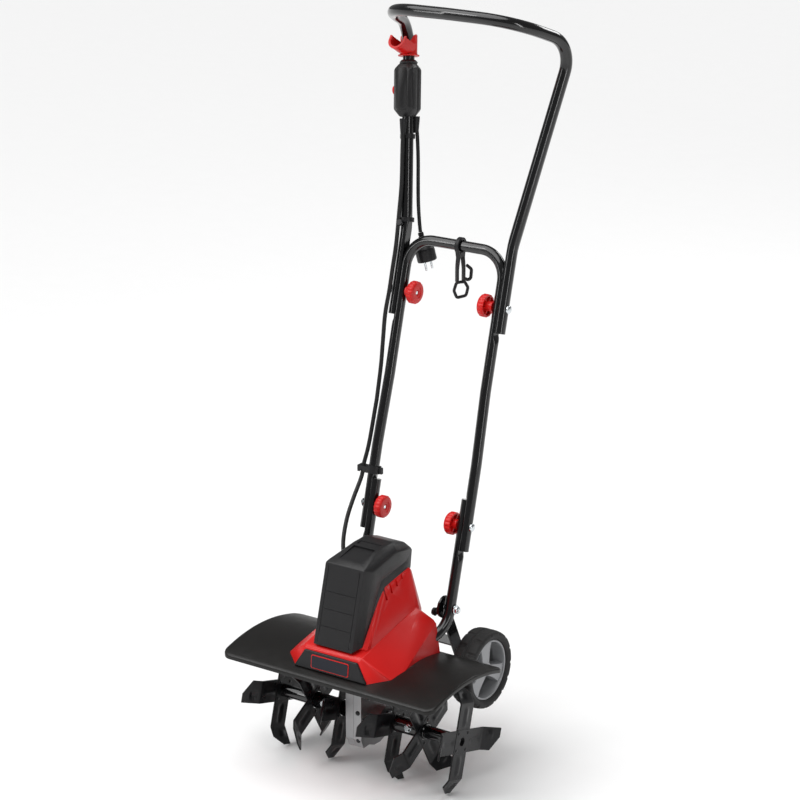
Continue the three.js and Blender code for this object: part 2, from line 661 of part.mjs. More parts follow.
/** Corner points of the upper handle's right half, from its lower end to the middle of the grip bar. */
function handleCorners() {
  const kneeX = HANDLE_X + HANDLE_SPLAY * (HANDLE_KNEE_Z - HANDLE_KINK_Z);
  const knee = vec(kneeX, leanY(HANDLE_KNEE_Z), HANDLE_KNEE_Z);
  const tilt = THREE.MathUtils.degToRad(HANDLE_REACH_TILT);
  const forward = vec(0, -Math.sin(tilt), Math.cos(tilt));
  const corner = knee.clone().addScaledVector(forward, HANDLE_REACH).add(vec(-HANDLE_TOE_IN, 0, 0));
  const middle = corner.clone().setX(0).addScaledVector(forward, HANDLE_BOW);
  return [
    vec(HANDLE_X, leanY(HANDLE_BOTTOM_Z), HANDLE_BOTTOM_Z),
    vec(HANDLE_X, leanY(HANDLE_KINK_Z), HANDLE_KINK_Z),
    knee,
    corner,
    middle,
  ];
}

function handlePath() {
  const half = handleCorners();
  const corners = [...half, ...half.slice(0, 4).map(mirrorX).reverse()];
  return roundedPath(corners, [0, 110, 57, 92, 900, 92, 57, 110, 0]);
}

function buildUpperHandle() {
  const path = handlePath();
  const cut = flatCut(UPPER_JOINT_FACE_X + GAP, false, UPPER_PIVOT, JOINT_OVERLAP, 170);
  const handle = tube(path, HANDLE_TUBE_RADIUS, [cut]).subtract(pivotHole(UPPER_PIVOT));
  part('upper_handle', largest(handle), glossPaint());
}

/** Carriage bolts through the folding joints: a domed head outside, the shank ending in the knob. */
function buildJointHardware() {
  const joints = [
    ['lower', LOWER_PIVOT, MIDDLE_LOWER_X + FRAME_TUBE_RADIUS, LOWER_FRAME_X - FRAME_TUBE_RADIUS],
    ['upper', UPPER_PIVOT, HANDLE_X + HANDLE_TUBE_RADIUS, MIDDLE_UPPER_X - FRAME_TUBE_RADIUS],
  ];
  for (const [level, pivot, outerX, innerX] of joints) {
    for (const [sideName, side] of [['left', -1], ['right', 1]]) {
      const shank = [
        [side * 73, 0], [side * 73, JOINT_BOLT_RADIUS], [side * (outerX + GAP), JOINT_BOLT_RADIUS],
        [side * (outerX + GAP), 8.5], [side * (outerX + 2.5), 7.5],
        [side * (outerX + 4.5), 4], [side * (outerX + 5), 0],
      ];
      part(`${level}_joint_bolt_${sideName}`, latheX(shank, pivot.y, pivot.z, 8), zincSteel());
      part(`${level}_knob_${sideName}`, starKnob(side, pivot, innerX), redPlastic());
    }
  }
}

/** A star knob: a scalloped disc and a neck that reaches to the tube. */
function starKnob(side, pivot, innerX) {
  const lobes = 8;
  const outline = Array.from({ length: lobes * 2 }, (_, i) => {
    const a = (2 * Math.PI * i) / (lobes * 2);
    const r = KNOB_RADIUS - 0.8 + 0.8 * Math.cos(lobes * a);
    return [pivot.y + r * Math.cos(a), pivot.z + r * Math.sin(a)];
  });
  const [x1, x2] = KNOB_DISC.map((x) => side * x);
  const disc = solid(prismX(outline, Math.min(x1, x2), Math.max(x1, x2)));
  const neck = solid(rodX(x2 - side, side * (innerX - GAP), pivot.y, pivot.z, 10, 14));
  const bore = solid(rodX(side * 72.6, side * 120, pivot.y, pivot.z, JOINT_BOLT_RADIUS + 0.4, 8));
  return disc.add(neck).subtract(bore);
}

// ---------------------------------------------------------------- transport wheels
function buildWheels() {
  const { y, z } = WHEEL_CENTRE;
  const armDirection = vec(0, y - BRACKET_PIVOT.y, z - BRACKET_PIVOT.z);
  const armAngle = Math.atan2(armDirection.y, -armDirection.z);
  let bracket = null;
  const join = (geometry) => {
    const piece = solid(geometry);
    bracket = bracket ? bracket.add(piece) : piece;
  };
  for (const side of [-1, 1]) {
    const [a, b] = ARM_X.map((x) => side * x);
    const arm = block(a, b, -13, 13, -armDirection.length(), 0);
    arm.rotateX(armAngle);
    arm.translate(0, BRACKET_PIVOT.y, BRACKET_PIVOT.z);
    join(arm);
    join(rodX(a, b, BRACKET_PIVOT.y, BRACKET_PIVOT.z, 21, 14));
    join(rodX(a, b, y, z, 14, 10));
  }
  const brace = block(-ARM_X[0] - 1, ARM_X[0] + 1, -10, 10, -96, -92);
  brace.rotateX(armAngle);
  brace.translate(0, BRACKET_PIVOT.y, BRACKET_PIVOT.z);
  join(brace);
  const pinHole = lockPinPlace();
  bracket = bracket
    .subtract(solid(rodX(-160, 160, y, z, WHEEL_AXLE_RADIUS + 0.5, 10)))
    .subtract(solid(rodX(-160, 160, BRACKET_PIVOT.y, BRACKET_PIVOT.z, JOINT_BOLT_RADIUS + 0.4, 8)))
    .subtract(solid(rodX(70, 100, pinHole.y, pinHole.z, 3.4, 12)));
  part('wheel_bracket', bracket, glossPaint());
  part('wheel_axle', rodX(-148, 148, y, z, WHEEL_AXLE_RADIUS, 10), zincSteel());

  const pin = [[70, 0], [70, 7], [76, 8], [77, 4.5], [83.6, 4.5], [83.6, 3], [88, 3], [88, 0]];
  part('wheel_lock_pin', latheX(pin, pinHole.y, pinHole.z, 14), blackPlastic());

  for (const [sideName, side] of [['left', -1], ['right', 1]]) {
    const bolt = [
      [side * 79, 0], [side * 79, 7], [side * 83.5, 7], [side * 83.5, JOINT_BOLT_RADIUS],
      [side * 111.4, JOINT_BOLT_RADIUS], [side * 111.4, 9], [side * 113.2, 9], [side * 113.2, 6.5],
      [side * 119, 6.5], [side * 119, 0],
    ];
    part(`bracket_bolt_${sideName}`, latheX(bolt, BRACKET_PIVOT.y, BRACKET_PIVOT.z, 8), zincSteel());
    const middle = side * WHEEL_CENTRE.x;
    const w = WHEEL_WIDTH / 2;
    const tyre = [
      [middle - w + 4, RIM_RADIUS + GAP], [middle - w, 64],
      [middle - w + 3, 71], [middle - w + 10, WHEEL_RADIUS],
      [middle + w - 10, WHEEL_RADIUS], [middle + w - 3, 71],
      [middle + w, 64], [middle + w - 4, RIM_RADIUS + GAP],
    ];
    part(`tyre_${sideName}`, latheX(tyre, y, z, 20), rubber());
    part(`wheel_rim_${sideName}`, wheelRim(middle, side), paint(RIM_GREY, 0.45, 0.1));
  }
}

const lockPinPlace = () => ({ y: BRACKET_PIVOT.y - 11, z: BRACKET_PIVOT.z - 9 });

/** A rim with a hub and three spokes. */
function wheelRim(middle, side) {
  const y = WHEEL_CENTRE.y;
  const z = WHEEL_CENTRE.z;
  const w = WHEEL_WIDTH / 2 - 5;
  const ring = [
    [middle - w, 52], [middle - w, RIM_RADIUS], [middle + w, RIM_RADIUS], [middle + w, 52],
  ];
  let rim = solid(latheX(ring, y, z, 20)).add(solid(rodX(middle - w, middle + w, y, z, 15, 12)));
  const outerFace = middle + side * (w - 5);
  for (let i = 0; i < 3; i += 1) {
    const spoke = block(outerFace - 6, outerFace + 2, -11, 11, 10, 54);
    spoke.rotateX(THREE.MathUtils.degToRad(120 * i + 5));
    spoke.translate(0, y, z);
    rim = rim.add(solid(spoke));
  }
  return rim.subtract(solid(rodX(middle - 40, middle + 40, y, z, WHEEL_AXLE_RADIUS + 0.5, 10)));
}

// ---------------------------------------------------------------- switch box, lever and button
/** The centre of the left leg at height z. */
const leftLeg = (z) => vec(-(HANDLE_X + HANDLE_SPLAY * Math.max(0, z - HANDLE_KINK_Z)), leanY(z), z);
const LEG_UP = leftLeg(1250).sub(leftLeg(1150)).normalize();

/** Points in the left leg's own frame: x across, y backwards, z along the leg from height base. */
function alongLeg(base, points) {
  const origin = leftLeg(base);
  const across = vec(1, 0, 0).addScaledVector(LEG_UP, -LEG_UP.x).normalize();
  const backwards = LEG_UP.clone().cross(across);
  return points.map(([x, y, z]) =>
    origin.clone().addScaledVector(across, x).addScaledVector(backwards, y).addScaledVector(LEG_UP, z),
  );
}

const legRod = (z1, z2, radius) => solid(rod(leftLeg(z1), leftLeg(z2), radius, 16));

function boxHalf(front, length) {
  const y = front ? [-21, -0.2] : [0.2, 14];
  const narrow = front ? 0.72 : 0.8;
  const outer = front ? y[0] : y[1];
  const seam = front ? y[1] : y[0];
  const points = [];
  for (const side of [-1, 1]) {
    const wide = side * 19.5;
    const end = side * 13;
    points.push([end, seam, 0], [wide, seam, 9], [wide, seam, length - 9], [end, seam, length]);
    points.push([wide, outer * narrow, 14], [wide, outer * narrow, length - 12]);
    points.push([end, outer, 16], [end, outer, length - 14]);
    points.push([side * 10, outer * 0.6, 0], [side * 10, outer * 0.6, length]);
  }
  return solid(hull(alongLeg(SWITCH_BOX_Z[0], points)));
}

function buildSwitch() {
  const length = (SWITCH_BOX_Z[1] - SWITCH_BOX_Z[0]) / LEG_UP.z;
  const leg = legRod(1000, 1300, HANDLE_TUBE_RADIUS + GAP);
  const [b1, b2] = alongLeg(SWITCH_BOX_Z[0], [[-30, -8, 50], [-10.5, -8, 50]]);
  const buttonWell = solid(rod(b1, b2, 10, 20));
  part('switch_box_front', largest(boxHalf(true, length).subtract(leg).subtract(buttonWell)), coverPlastic());
  part('switch_box_rear', largest(boxHalf(false, length).subtract(leg).subtract(buttonWell)), coverPlastic());

  const [c1, c2] = alongLeg(SWITCH_BOX_Z[0], [[-23.5, -8, 50], [-17, -8, 50]]);
  part('lock_off_button', rod(c1, c2, 9.4, 20), redPlastic());

  // the switch lever: a sleeve behind and a scoop that reaches forward under the bend of the tube
  const s = 15.5;
  const rise = 46;
  const scoop = (wall) => {
    const t = s - wall;
    const back = s - wall;
    const lip = -48 - wall * 2;
    const top = rise + wall * 3;
    return alongLeg(SWITCH_LEVER_Z, [-1, 1].flatMap((side) => [
      [side * t, -14, 2 + wall], [side * t, back, 2 - wall * 2], [side * t, back, top],
      [side * t, lip, 34 + wall], [side * t * 0.5, lip + 4, 20 + wall], [side * t, -22, top],
    ]));
  };
  const flange = alongLeg(SWITCH_LEVER_Z, [[0, 0, -1], [0, 0, 3]]);
  let lever = solid(hull(scoop(0))).add(solid(rod(flange[0], flange[1], 20, 20)));
  lever = lever.subtract(solid(hull(scoop(2.5))));
  const pivot = leverPivot();
  for (let angle = 0; angle <= LEVER_TRAVEL; angle += 6) {
    const sweep = bar(handlePath().slice(-HANDLE_LEFT_POINTS), HANDLE_TUBE_RADIUS + 0.9, 8);
    sweep.translate(0, -pivot.y, -pivot.z);
    sweep.rotateX(THREE.MathUtils.degToRad(angle));
    sweep.translate(0, pivot.y, pivot.z);
    lever = lever.subtract(solid(sweep));
  }
  const opening = alongLeg(SWITCH_LEVER_Z, [-12, 12].flatMap((x) => [
    [x, -60, 38], [x, 12, 70], [x, -20, 8], [x, -60, 70],
  ]));
  lever = lever.subtract(solid(hull(opening)));
  part('switch_lever', largest(lever), redPlastic());
}

const LEVER_TRAVEL = 12;
const HANDLE_LEFT_POINTS = 15;
const leverPivot = () => alongLeg(SWITCH_LEVER_Z, [[0, 14, 2]])[0];

// ---------------------------------------------------------------- cords, plug and clips
/** A cord along a smooth curve through hand-placed points. */
function cord(points, radius, steps, sides = 8) {
  const curve = new THREE.CatmullRomCurve3(points, false, 'centripetal');
  return bar(curve.getSpacedPoints(steps), radius, sides);
}

function buildCords() {
  const beside = (z, dx, dy) => leftLeg(z).add(vec(dx, dy, 0));
  const front = HANDLE_TUBE_RADIUS + CORD_RADIUS + 1.5;
  const upper = [
    beside(1142, 1, -front), beside(1090, 0, -front), beside(1030, -1, -front), beside(975, -6, -front),
    beside(925, -8, -front + 0.5), beside(880, -8, -16), beside(840, -8, -16), beside(797.2, -10, -15),
  ];
  part('motor_cord_upper', cord(upper, CORD_RADIUS, 18), rubber());
  const middle = [
    vec(-125.6, leanY(795.4) - 14.9, 795.4), vec(-126, leanY(745) - 8, 745), vec(-125, leanY(700) - 4, 700),
    vec(-124.5, leanY(640) - 2, 640), vec(-127, leanY(560) - 2, 560), vec(-130.3, leanY(520) - 4.6, 520),
    vec(-130.8, leanY(499) - 4.9, 499),
  ];
  part('motor_cord_middle', cord(middle, CORD_RADIUS, 14), rubber());
  const lower = [
    vec(-131, leanY(497.2) - 5, 497.2), vec(-132, 133, 458), vec(-130, 110, 425), vec(-122, 88, 388),
    vec(-106, 72, 352), vec(-90, 63, 325), vec(-80, 58, 306), vec(-74, 55.4, 295),
  ];
  part('motor_cord_lower', cord(lower, CORD_RADIUS, 14), rubber());

  const rear = HANDLE_TUBE_RADIUS + CORD_RADIUS + 1.5;
  const lead = [
    beside(1136, 10, rear - 4), beside(1110, 12, rear - 2), beside(1070, 13, rear),
    beside(1030, 13, rear + 1), beside(995, 14, rear + 1), vec(-108, 317, 962), vec(-104, 315, 939),
  ];
  part('plug_lead', cord(lead, CORD_RADIUS - 0.5, 14), rubber());
  buildPlug(lead[6]);
  buildClips();
}

/** The plug: a tapered boot, a round body and two pins, along the lead's last direction. */
function buildPlug(end) {
  const axis = vec(0.27, 0.04, -1).normalize();
  const at = (d) => end.clone().addScaledVector(axis, d);
  const sideways = axis.clone().cross(vec(1, 0, 0)).normalize();
  let plug = solid(taper(at(1.6), at(18), 5.2, 7)).add(solid(rod(at(17.5), at(24), 9, 10)));
  plug = plug.add(solid(taper(at(23.5), at(34), 14, 18.5))).add(solid(rod(at(33.5), at(56), 18.5, 10)));
  for (const side of [-1, 1]) {
    const a = at(55).addScaledVector(sideways, side * 9.5);
    const b = at(73).addScaledVector(sideways, side * 9.5);
    plug = plug.add(solid(rod(a, b, 2.4, 6)));
  }
  part('mains_plug', plug, blackPlastic());
}

function taper(a, b, r1, r2) {
  const axis = b.clone().sub(a);
  const geometry = new THREE.CylinderGeometry(r2, r1, axis.length(), 10);
  geometry.applyQuaternion(new THREE.Quaternion().setFromUnitVectors(vec(0, 1, 0), axis.normalize()));
  geometry.translate(...a.clone().add(b).multiplyScalar(0.5).toArray());
  return geometry;
}

/** The cord clip on the middle frame: a strap round the tube with an ear that holds the cord. */
function buildClips() {
  const z = 513;
  const y = leanY(z);
  const x = -MIDDLE_LOWER_X;
  let clip = solid(rod(vec(x, leanY(z - 7), z - 7), vec(x, leanY(z + 7), z + 7), 14, 16));
  clip = clip.add(solid(block(-140, x - 8, y - 10, y + 4, z - 6, z + 6)));
  clip = clip.add(solid(block(x + 8, -90, y - 3, y + 3, z - 6, z + 6)));
  const tubeHole = rod(vec(x, leanY(450), 450), vec(x, leanY(600), 600), FRAME_TUBE_RADIUS + GAP, 14);
  clip = clip.subtract(solid(tubeHole));
  const holeEnds = [vec(-131, leanY(490) - 5, 490), vec(-129.8, leanY(536) - 4.2, 536)];
  const cordHole = rod(holeEnds[0], holeEnds[1], CORD_RADIUS + 1.2, 12);
  clip = clip.subtract(solid(cordHole));
  part('cord_clip', largest(clip), blackPlastic());
}

/** The cord hook that hangs on the middle frame's top bar: a loop, then a slotted strap, prong and ring. */
function buildCordHook() {
  const x = 6;
  const y = leanY(MIDDLE_BAR_Z);
  const half = 4.5;
  const loop = solid(rodX(x - half, x + half, y, MIDDLE_BAR_Z, 16, 14));
  const through = (outline) => solid(prismX(outline, -20, 20));
  const ringOuter = [[-9, 868], [9, 868], [18, 856], [14, 838], [-6, 836], [-14, 850]];
  const ringInner = [[-4, 864], [6, 864], [12, 855], [9, 843], [-4, 841], [-9, 850]];
  const prong = roundedPath([vec(0, 6, 876), vec(0, 22, 868), vec(0, 23, 892)], [0, 8, 0]);
  const strap = solid(block(-half, half, -9, 9, 866, MIDDLE_BAR_Z - 8))
    .add(solid(prismX(ringOuter, -half, half)))
    .add(solid(bar(prong, 3.2, 10)))
    .subtract(solid(block(-20, 20, -4, 4, 876, 916)))
    .subtract(through(ringInner));
  const hanging = strap.rotate([0, 0, HOOK_TWIST]).translate([x, y, 0]);
  const barBore = solid(rodX(x - 20, x + 20, y, MIDDLE_BAR_Z, FRAME_TUBE_RADIUS + 0.9, 12));
  part('cord_hook', largest(loop.add(hanging).subtract(barBore)), blackPlastic());
}

// ---------------------------------------------------------------- assembly
const framePaths = lowerFramePaths();
buildDrive();
buildGearbox();
buildMotor();
buildGuard();
buildHousing(framePaths);
buildLowerFrame(framePaths);
buildMiddleFrame();
buildUpperHandle();
buildJointHardware();
buildWheels();
buildSwitch();
buildCords();
buildCordHook();

const machine = new THREE.Box3().setFromObject(group);
group.position.set(0, -(machine.min.y + machine.max.y) / 2, -machine.min.z);
const tiller = new THREE.Group();
tiller.add(group);

export default tiller;
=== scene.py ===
"""Electric garden tiller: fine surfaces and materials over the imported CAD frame."""
import math

import bmesh
import bpy
from mathutils import Matrix, Vector

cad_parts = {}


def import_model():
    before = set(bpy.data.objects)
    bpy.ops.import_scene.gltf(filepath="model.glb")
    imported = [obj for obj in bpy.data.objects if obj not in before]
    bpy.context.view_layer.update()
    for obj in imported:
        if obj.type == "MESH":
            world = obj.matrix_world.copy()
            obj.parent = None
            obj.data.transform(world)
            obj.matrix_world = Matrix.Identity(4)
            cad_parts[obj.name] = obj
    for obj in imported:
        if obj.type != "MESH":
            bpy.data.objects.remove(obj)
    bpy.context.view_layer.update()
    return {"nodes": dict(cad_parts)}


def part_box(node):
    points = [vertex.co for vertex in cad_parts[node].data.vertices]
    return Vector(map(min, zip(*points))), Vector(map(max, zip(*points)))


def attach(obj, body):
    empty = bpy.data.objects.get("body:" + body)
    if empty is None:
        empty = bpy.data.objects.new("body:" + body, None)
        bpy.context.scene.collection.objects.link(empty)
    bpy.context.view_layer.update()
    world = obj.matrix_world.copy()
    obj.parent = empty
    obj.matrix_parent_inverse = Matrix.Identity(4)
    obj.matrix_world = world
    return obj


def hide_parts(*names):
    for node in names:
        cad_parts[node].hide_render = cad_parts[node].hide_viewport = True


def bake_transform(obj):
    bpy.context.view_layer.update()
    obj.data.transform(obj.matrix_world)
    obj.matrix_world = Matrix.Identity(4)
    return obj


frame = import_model()

# ---------------------------------------- driving values, in millimetres
# The working frame has the tine axle over y = 0 and at z = AXLE_Z, as the CAD model's source has.
AXLE_Z = 105
axle_low, axle_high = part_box("tine_axle")
HALF_IN_MM = 500  # turns the sum of two faces in metres into their middle in millimetres
SHIFT_Y = (axle_low[1] + axle_high[1]) * HALF_IN_MM
SHIFT_Z = (axle_low[2] + axle_high[2]) * HALF_IN_MM - AXLE_Z

LEAN = 0.2685
LOWER_PIVOT = (153, 451)
JOINT_OVERLAP = 50
LOWER_FACE_X = 104.4
UPPER_FACE_X = 109.4
FRAME_RADIUS = 10
MIDDLE_BAR_Z = 936
HANDLE_RADIUS = 11
HANDLE_X = 115.5
HANDLE_FLARE = 0.167
HANDLE_FOOT_Z = 796
HANDLE_KINK_Z = 945
HANDLE_KNEE_Z = 1309.5
CORD_RADIUS = 4
LEAD_RADIUS = 3.5
PIN_SPACING = 19
KNOB_FACE_X = 70
SWITCH_Z = 1146
SWITCH_LENGTH = 100.2
LEVER_Z = 1253
STAR_X = {"inner": 60, "middle": 122, "outer": 200}
TINE_PHASE = -16
WHEEL = {"x": 126, "y": 178.6, "z": 166}
BRACKET_PIVOT = (113.5, 302)
HOOK_TWIST = -30
GUARD_EDGES = [(-145, 224), (-10, 243), (93, 222)]


def lean_y(z):
    """The y of the leaning plane that the handle's legs lie in."""
    return LOWER_PIVOT[0] + LEAN * (z - LOWER_PIVOT[1])


UPPER_PIVOT = (lean_y(840), 840)


def world(p):
    """A point of the working frame, in the row frame's metres."""
    return Vector((p[0] / 1000, (p[1] + SHIFT_Y) / 1000, (p[2] + SHIFT_Z) / 1000))


# ---------------------------------------- camera
def make_camera():
    data = bpy.data.cameras.new("camera")
    data.lens = 119.2
    data.sensor_width = 36
    data.clip_end = 50
    camera = bpy.data.objects.new("camera", data)
    bpy.context.scene.collection.objects.link(camera)
    camera.location = world((2568, -3641, 2163))
    look = Vector((-0.5385, 0.7838, -0.3092))
    camera.rotation_euler = look.to_track_quat("-Z", "Y").to_euler()
    bpy.context.scene.camera = camera


make_camera()


def surface(name, colour, roughness, metallic=0.0, grain=500, bump=0.1, mottle=0.12, coat=0.0,
            spread=0.08):
    """A procedural finish: mottled colour, uneven roughness and a fine bump."""
    material = bpy.data.materials.new(name)
    material.use_nodes = True
    nodes, links = material.node_tree.nodes, material.node_tree.links
    shader = nodes["Principled BSDF"]
    shader.inputs["Metallic"].default_value = metallic
    shader.inputs["Specular IOR Level"].default_value = 0.32
    shader.inputs["Coat Weight"].default_value = coat
    shader.inputs["Coat Roughness"].default_value = 0.08
    place = nodes.new("ShaderNodeTexCoord")

    def noise(scale, detail):
        node = nodes.new("ShaderNodeTexNoise")
        node.inputs["Scale"].default_value = scale
        node.inputs["Detail"].default_value = detail
        links.new(place.outputs["Object"], node.inputs["Vector"])
        return node

    broad = noise(14, 4)
    ramp = nodes.new("ShaderNodeValToRGB")
    ramp.color_ramp.elements[0].position = 0.3
    ramp.color_ramp.elements[1].position = 0.7
    ramp.color_ramp.elements[0].color = (*[c * (1 - mottle) for c in colour], 1)
    ramp.color_ramp.elements[1].color = (*[min(1, c * (1 + mottle)) for c in colour], 1)
    links.new(broad.outputs["Fac"], ramp.inputs["Fac"])
    links.new(ramp.outputs["Color"], shader.inputs["Base Color"])

    smudge = noise(45, 3)
    spreading = nodes.new("ShaderNodeMapRange")
    spreading.inputs["To Min"].default_value = max(0.02, roughness - spread)
    spreading.inputs["To Max"].default_value = min(1, roughness + spread)
    links.new(smudge.outputs["Fac"], spreading.inputs["Value"])
    links.new(spreading.outputs["Result"], shader.inputs["Roughness"])

    fine = noise(grain, 5)
    bumps = nodes.new("ShaderNodeBump")
    bumps.inputs["Strength"].default_value = bump
    bumps.inputs["Distance"].default_value = 0.0006
    links.new(fine.outputs["Fac"], bumps.inputs["Height"])
    links.new(bumps.outputs["Normal"], shader.inputs["Normal"])
    return material


RED = surface("glossy red", (0.56, 0.006, 0.005), 0.4, grain=1300, bump=0.12, mottle=0.04,
              coat=0.1)
COVER = surface("grained black", (0.012, 0.0117, 0.0125), 0.36, grain=1800, bump=0.4,
                mottle=0.1)
GUARD = surface("satin guard", (0.006, 0.0055, 0.005), 0.34, grain=1200, bump=0.18)
BLACK = surface("matt black", (0.008, 0.008, 0.009), 0.4, grain=1500, bump=0.25)
FRAME_PAINT = surface("gloss black paint", (0.004, 0.004, 0.0045), 0.16, grain=900, bump=0.05,
                      coat=0.6, spread=0.05)
TINE_PAINT = surface("tine paint", (0.008, 0.008, 0.009), 0.3, metallic=0.1, bump=0.16,
                     mottle=0.25)
CAST = surface("sand cast alloy", (0.3, 0.3, 0.305), 0.42, metallic=0.85, grain=900, bump=0.5)
ZINC = surface("bright zinc", (0.72, 0.76, 0.78), 0.24, metallic=1.0, grain=700, mottle=0.08)
STEEL = surface("bare steel", (0.4, 0.41, 0.43), 0.35, metallic=1.0, grain=700, bump=0.15)
BRONZE = surface("gear bronze", (0.5, 0.33, 0.12), 0.35, metallic=1.0, grain=600)
COPPER = surface("winding copper", (0.6, 0.25, 0.12), 0.35, metallic=1.0, grain=600, bump=0.3)
RIM = surface("grey rim", (0.3, 0.305, 0.315), 0.34, metallic=0.35, grain=1300, bump=0.15,
              mottle=0.04)
RUBBER = surface("tread rubber", (0.017, 0.0165, 0.0165), 0.62, grain=900, bump=0.4,
                 mottle=0.2)
CORD = surface("cord sheath", (0.009, 0.009, 0.0095), 0.42, grain=900, bump=0.15)
BADGE = surface("badge face", (0.004, 0.005, 0.012), 0.3, grain=700, bump=0.03)


# ---------------------------------------- mesh helpers
def piece(name, verts, faces, material, body, replaces=(), smooth=True, bevel=0, segments=2, angle=30):
    """One mesh from points of the working frame, with its material, riding on a body."""
    mesh = bpy.data.meshes.new(name)
    mesh.from_pydata([world(v) for v in verts], [], faces)
    tidy = bmesh.new()
    tidy.from_mesh(mesh)
    bmesh.ops.remove_doubles(tidy, verts=tidy.verts, dist=1e-6)
    bmesh.ops.recalc_face_normals(tidy, faces=tidy.faces)
    tidy.to_mesh(mesh)
    tidy.free()
    obj = bpy.data.objects.new(name, mesh)
    bpy.context.scene.collection.objects.link(obj)
    mesh.materials.append(material)
    if smooth:
        mesh.polygons.foreach_set("use_smooth", [True] * len(mesh.polygons))
        mesh.set_sharp_from_angle(angle=math.radians(angle))
    if bevel:
        add_bevel(obj, bevel, segments, angle)
    if body:
        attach(obj, body)
    if replaces:
        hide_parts(*replaces)
    return obj


def add_bevel(obj, width, segments=2, angle=30):
    """Rounds the edges sharper than angle, then evens the shading."""
    bevel = obj.modifiers.new("rounded edges", "BEVEL")
    bevel.width = width / 1000
    bevel.segments = segments
    bevel.limit_method = "ANGLE"
    bevel.angle_limit = math.radians(angle)
    bevel.harden_normals = False
    even = obj.modifiers.new("even shading", "WEIGHTED_NORMAL")
    even.keep_sharp = False


def merge(*shapes):
    """Several (verts, faces) as one."""
    verts, faces = [], []
    for more_verts, more_faces in shapes:
        base = len(verts)
        verts += [tuple(v) for v in more_verts]
        faces += [tuple(i + base for i in f) for f in more_faces]
    return verts, faces


def moved(shape, matrix):
    """A shape put through a matrix."""
    verts, faces = shape
    return [matrix @ Vector(v) for v in verts], faces


def mirrored(shape):
    """A shape's copy on the other side of x = 0."""
    verts, faces = shape
    return [(-v[0], v[1], v[2]) for v in verts], [tuple(reversed(f)) for f in faces]


def box(low, high):
    """A box between two corners."""
    (x1, y1, z1), (x2, y2, z2) = low, high
    verts = [(x, y, z) for x in (x1, x2) for y in (y1, y2) for z in (z1, z2)]
    faces = [(0, 1, 3, 2), (4, 6, 7, 5), (0, 4, 5, 1), (2, 3, 7, 6), (0, 2, 6, 4), (1, 5, 7, 3)]
    return verts, faces


def rings(sections):
    """A closed skin through rings of equal point counts, with flat ends."""
    count = len(sections[0])
    verts = [tuple(p) for ring in sections for p in ring]
    faces = []
    for i in range(len(sections) - 1):
        for j in range(count):
            k = (j + 1) % count
            faces.append((i * count + j, i * count + k, (i + 1) * count + k, (i + 1) * count + j))
    last = (len(sections) - 1) * count
    faces += [tuple(range(count))[::-1], tuple(range(last, last + count))]
    return verts, faces


def lathe(profile, centre, axis, sides=40, wave=None):
    """A solid of revolution: profile holds (distance along axis, radius); wave changes a radius by angle."""
    axis = Vector(axis).normalized()
    side = axis.orthogonal().normalized() if abs(axis.x) < 0.9 else Vector((0, 1, 0))
    side = (side - axis * side.dot(axis)).normalized()
    up = axis.cross(side)
    sections = []
    for along, radius in profile:
        ring = []
        for j in range(sides):
            a = 2 * math.pi * j / sides
            r = max(radius, 0.01) + (wave(a, along, radius) if wave else 0)
            ring.append(Vector(centre) + axis * along + (side * math.cos(a) + up * math.sin(a)) * r)
        sections.append(ring)
    return rings(sections)


def rounded_path(corners, radii, step=6):
    """Corner points joined by straights and arcs."""
    corners = [Vector(c) for c in corners]
    out = [corners[0]]
    for i in range(1, len(corners) - 1):
        corner = corners[i]
        back, ahead = corners[i - 1] - corner, corners[i + 1] - corner
        u, w = back.normalized(), ahead.normalized()
        opening = u.angle(w)
        reach = min(radii[i] / math.tan(opening / 2), 0.49 * back.length, 0.49 * ahead.length)
        radius = reach * math.tan(opening / 2)
        centre = corner + (u + w).normalized() * radius / math.sin(opening / 2)
        start, end = corner + u * reach - centre, corner + w * reach - centre
        sweep = math.pi - opening
        count = max(2, math.ceil(math.degrees(sweep) / step))
        for k in range(count + 1):
            f = k / count
            out.append(centre + start * (math.sin((1 - f) * sweep) / math.sin(sweep))
                       + end * (math.sin(f * sweep) / math.sin(sweep)))
    out.append(corners[-1])
    return out


def dense(points, spacing):
    """The same line with extra points, no further apart than spacing."""
    out = [points[0]]
    for a, b in zip(points, points[1:]):
        count = max(1, math.ceil((b - a).length / spacing))
        out += [a.lerp(b, k / count) for k in range(1, count + 1)]
    return out


def smooth_line(points, per_span=8):
    """A Catmull-Rom line through given points."""
    points = [Vector(p) for p in points]
    padded = [2 * points[0] - points[1], *points, 2 * points[-1] - points[-2]]
    out = []
    for i in range(1, len(padded) - 2):
        a, b, c, d = padded[i - 1 : i + 3]
        for k in range(per_span):
            t = k / per_span
            out.append(0.5 * (2 * b + (c - a) * t + (2 * a - 5 * b + 4 * c - d) * t * t
                              + (3 * b - 3 * c + d - a) * t ** 3))
    return [*out, points[-1]]


def sweep(line, radius, sides=24, section=None):
    """A skin along a line: round, or with section's (u, v) outline, turned as little as possible."""
    angles = [2 * math.pi * j / sides for j in range(sides)]
    outline = section or [(radius * math.cos(a), radius * math.sin(a)) for a in angles]
    tangents = []
    for i in range(len(line)):
        tangents.append((line[min(i + 1, len(line) - 1)] - line[max(i - 1, 0)]).normalized())
    across = Vector((1, 0, 0))
    if abs(tangents[0].dot(across)) > 0.9:
        across = Vector((0, 0, 1))
    across = (across - tangents[0] * across.dot(tangents[0])).normalized()
    sections = []
    for point, tangent in zip(line, tangents):
        across = (across - tangent * across.dot(tangent)).normalized()
        other = tangent.cross(across)
        sections.append([point + across * u + other * v for u, v in outline])
    return rings(sections)


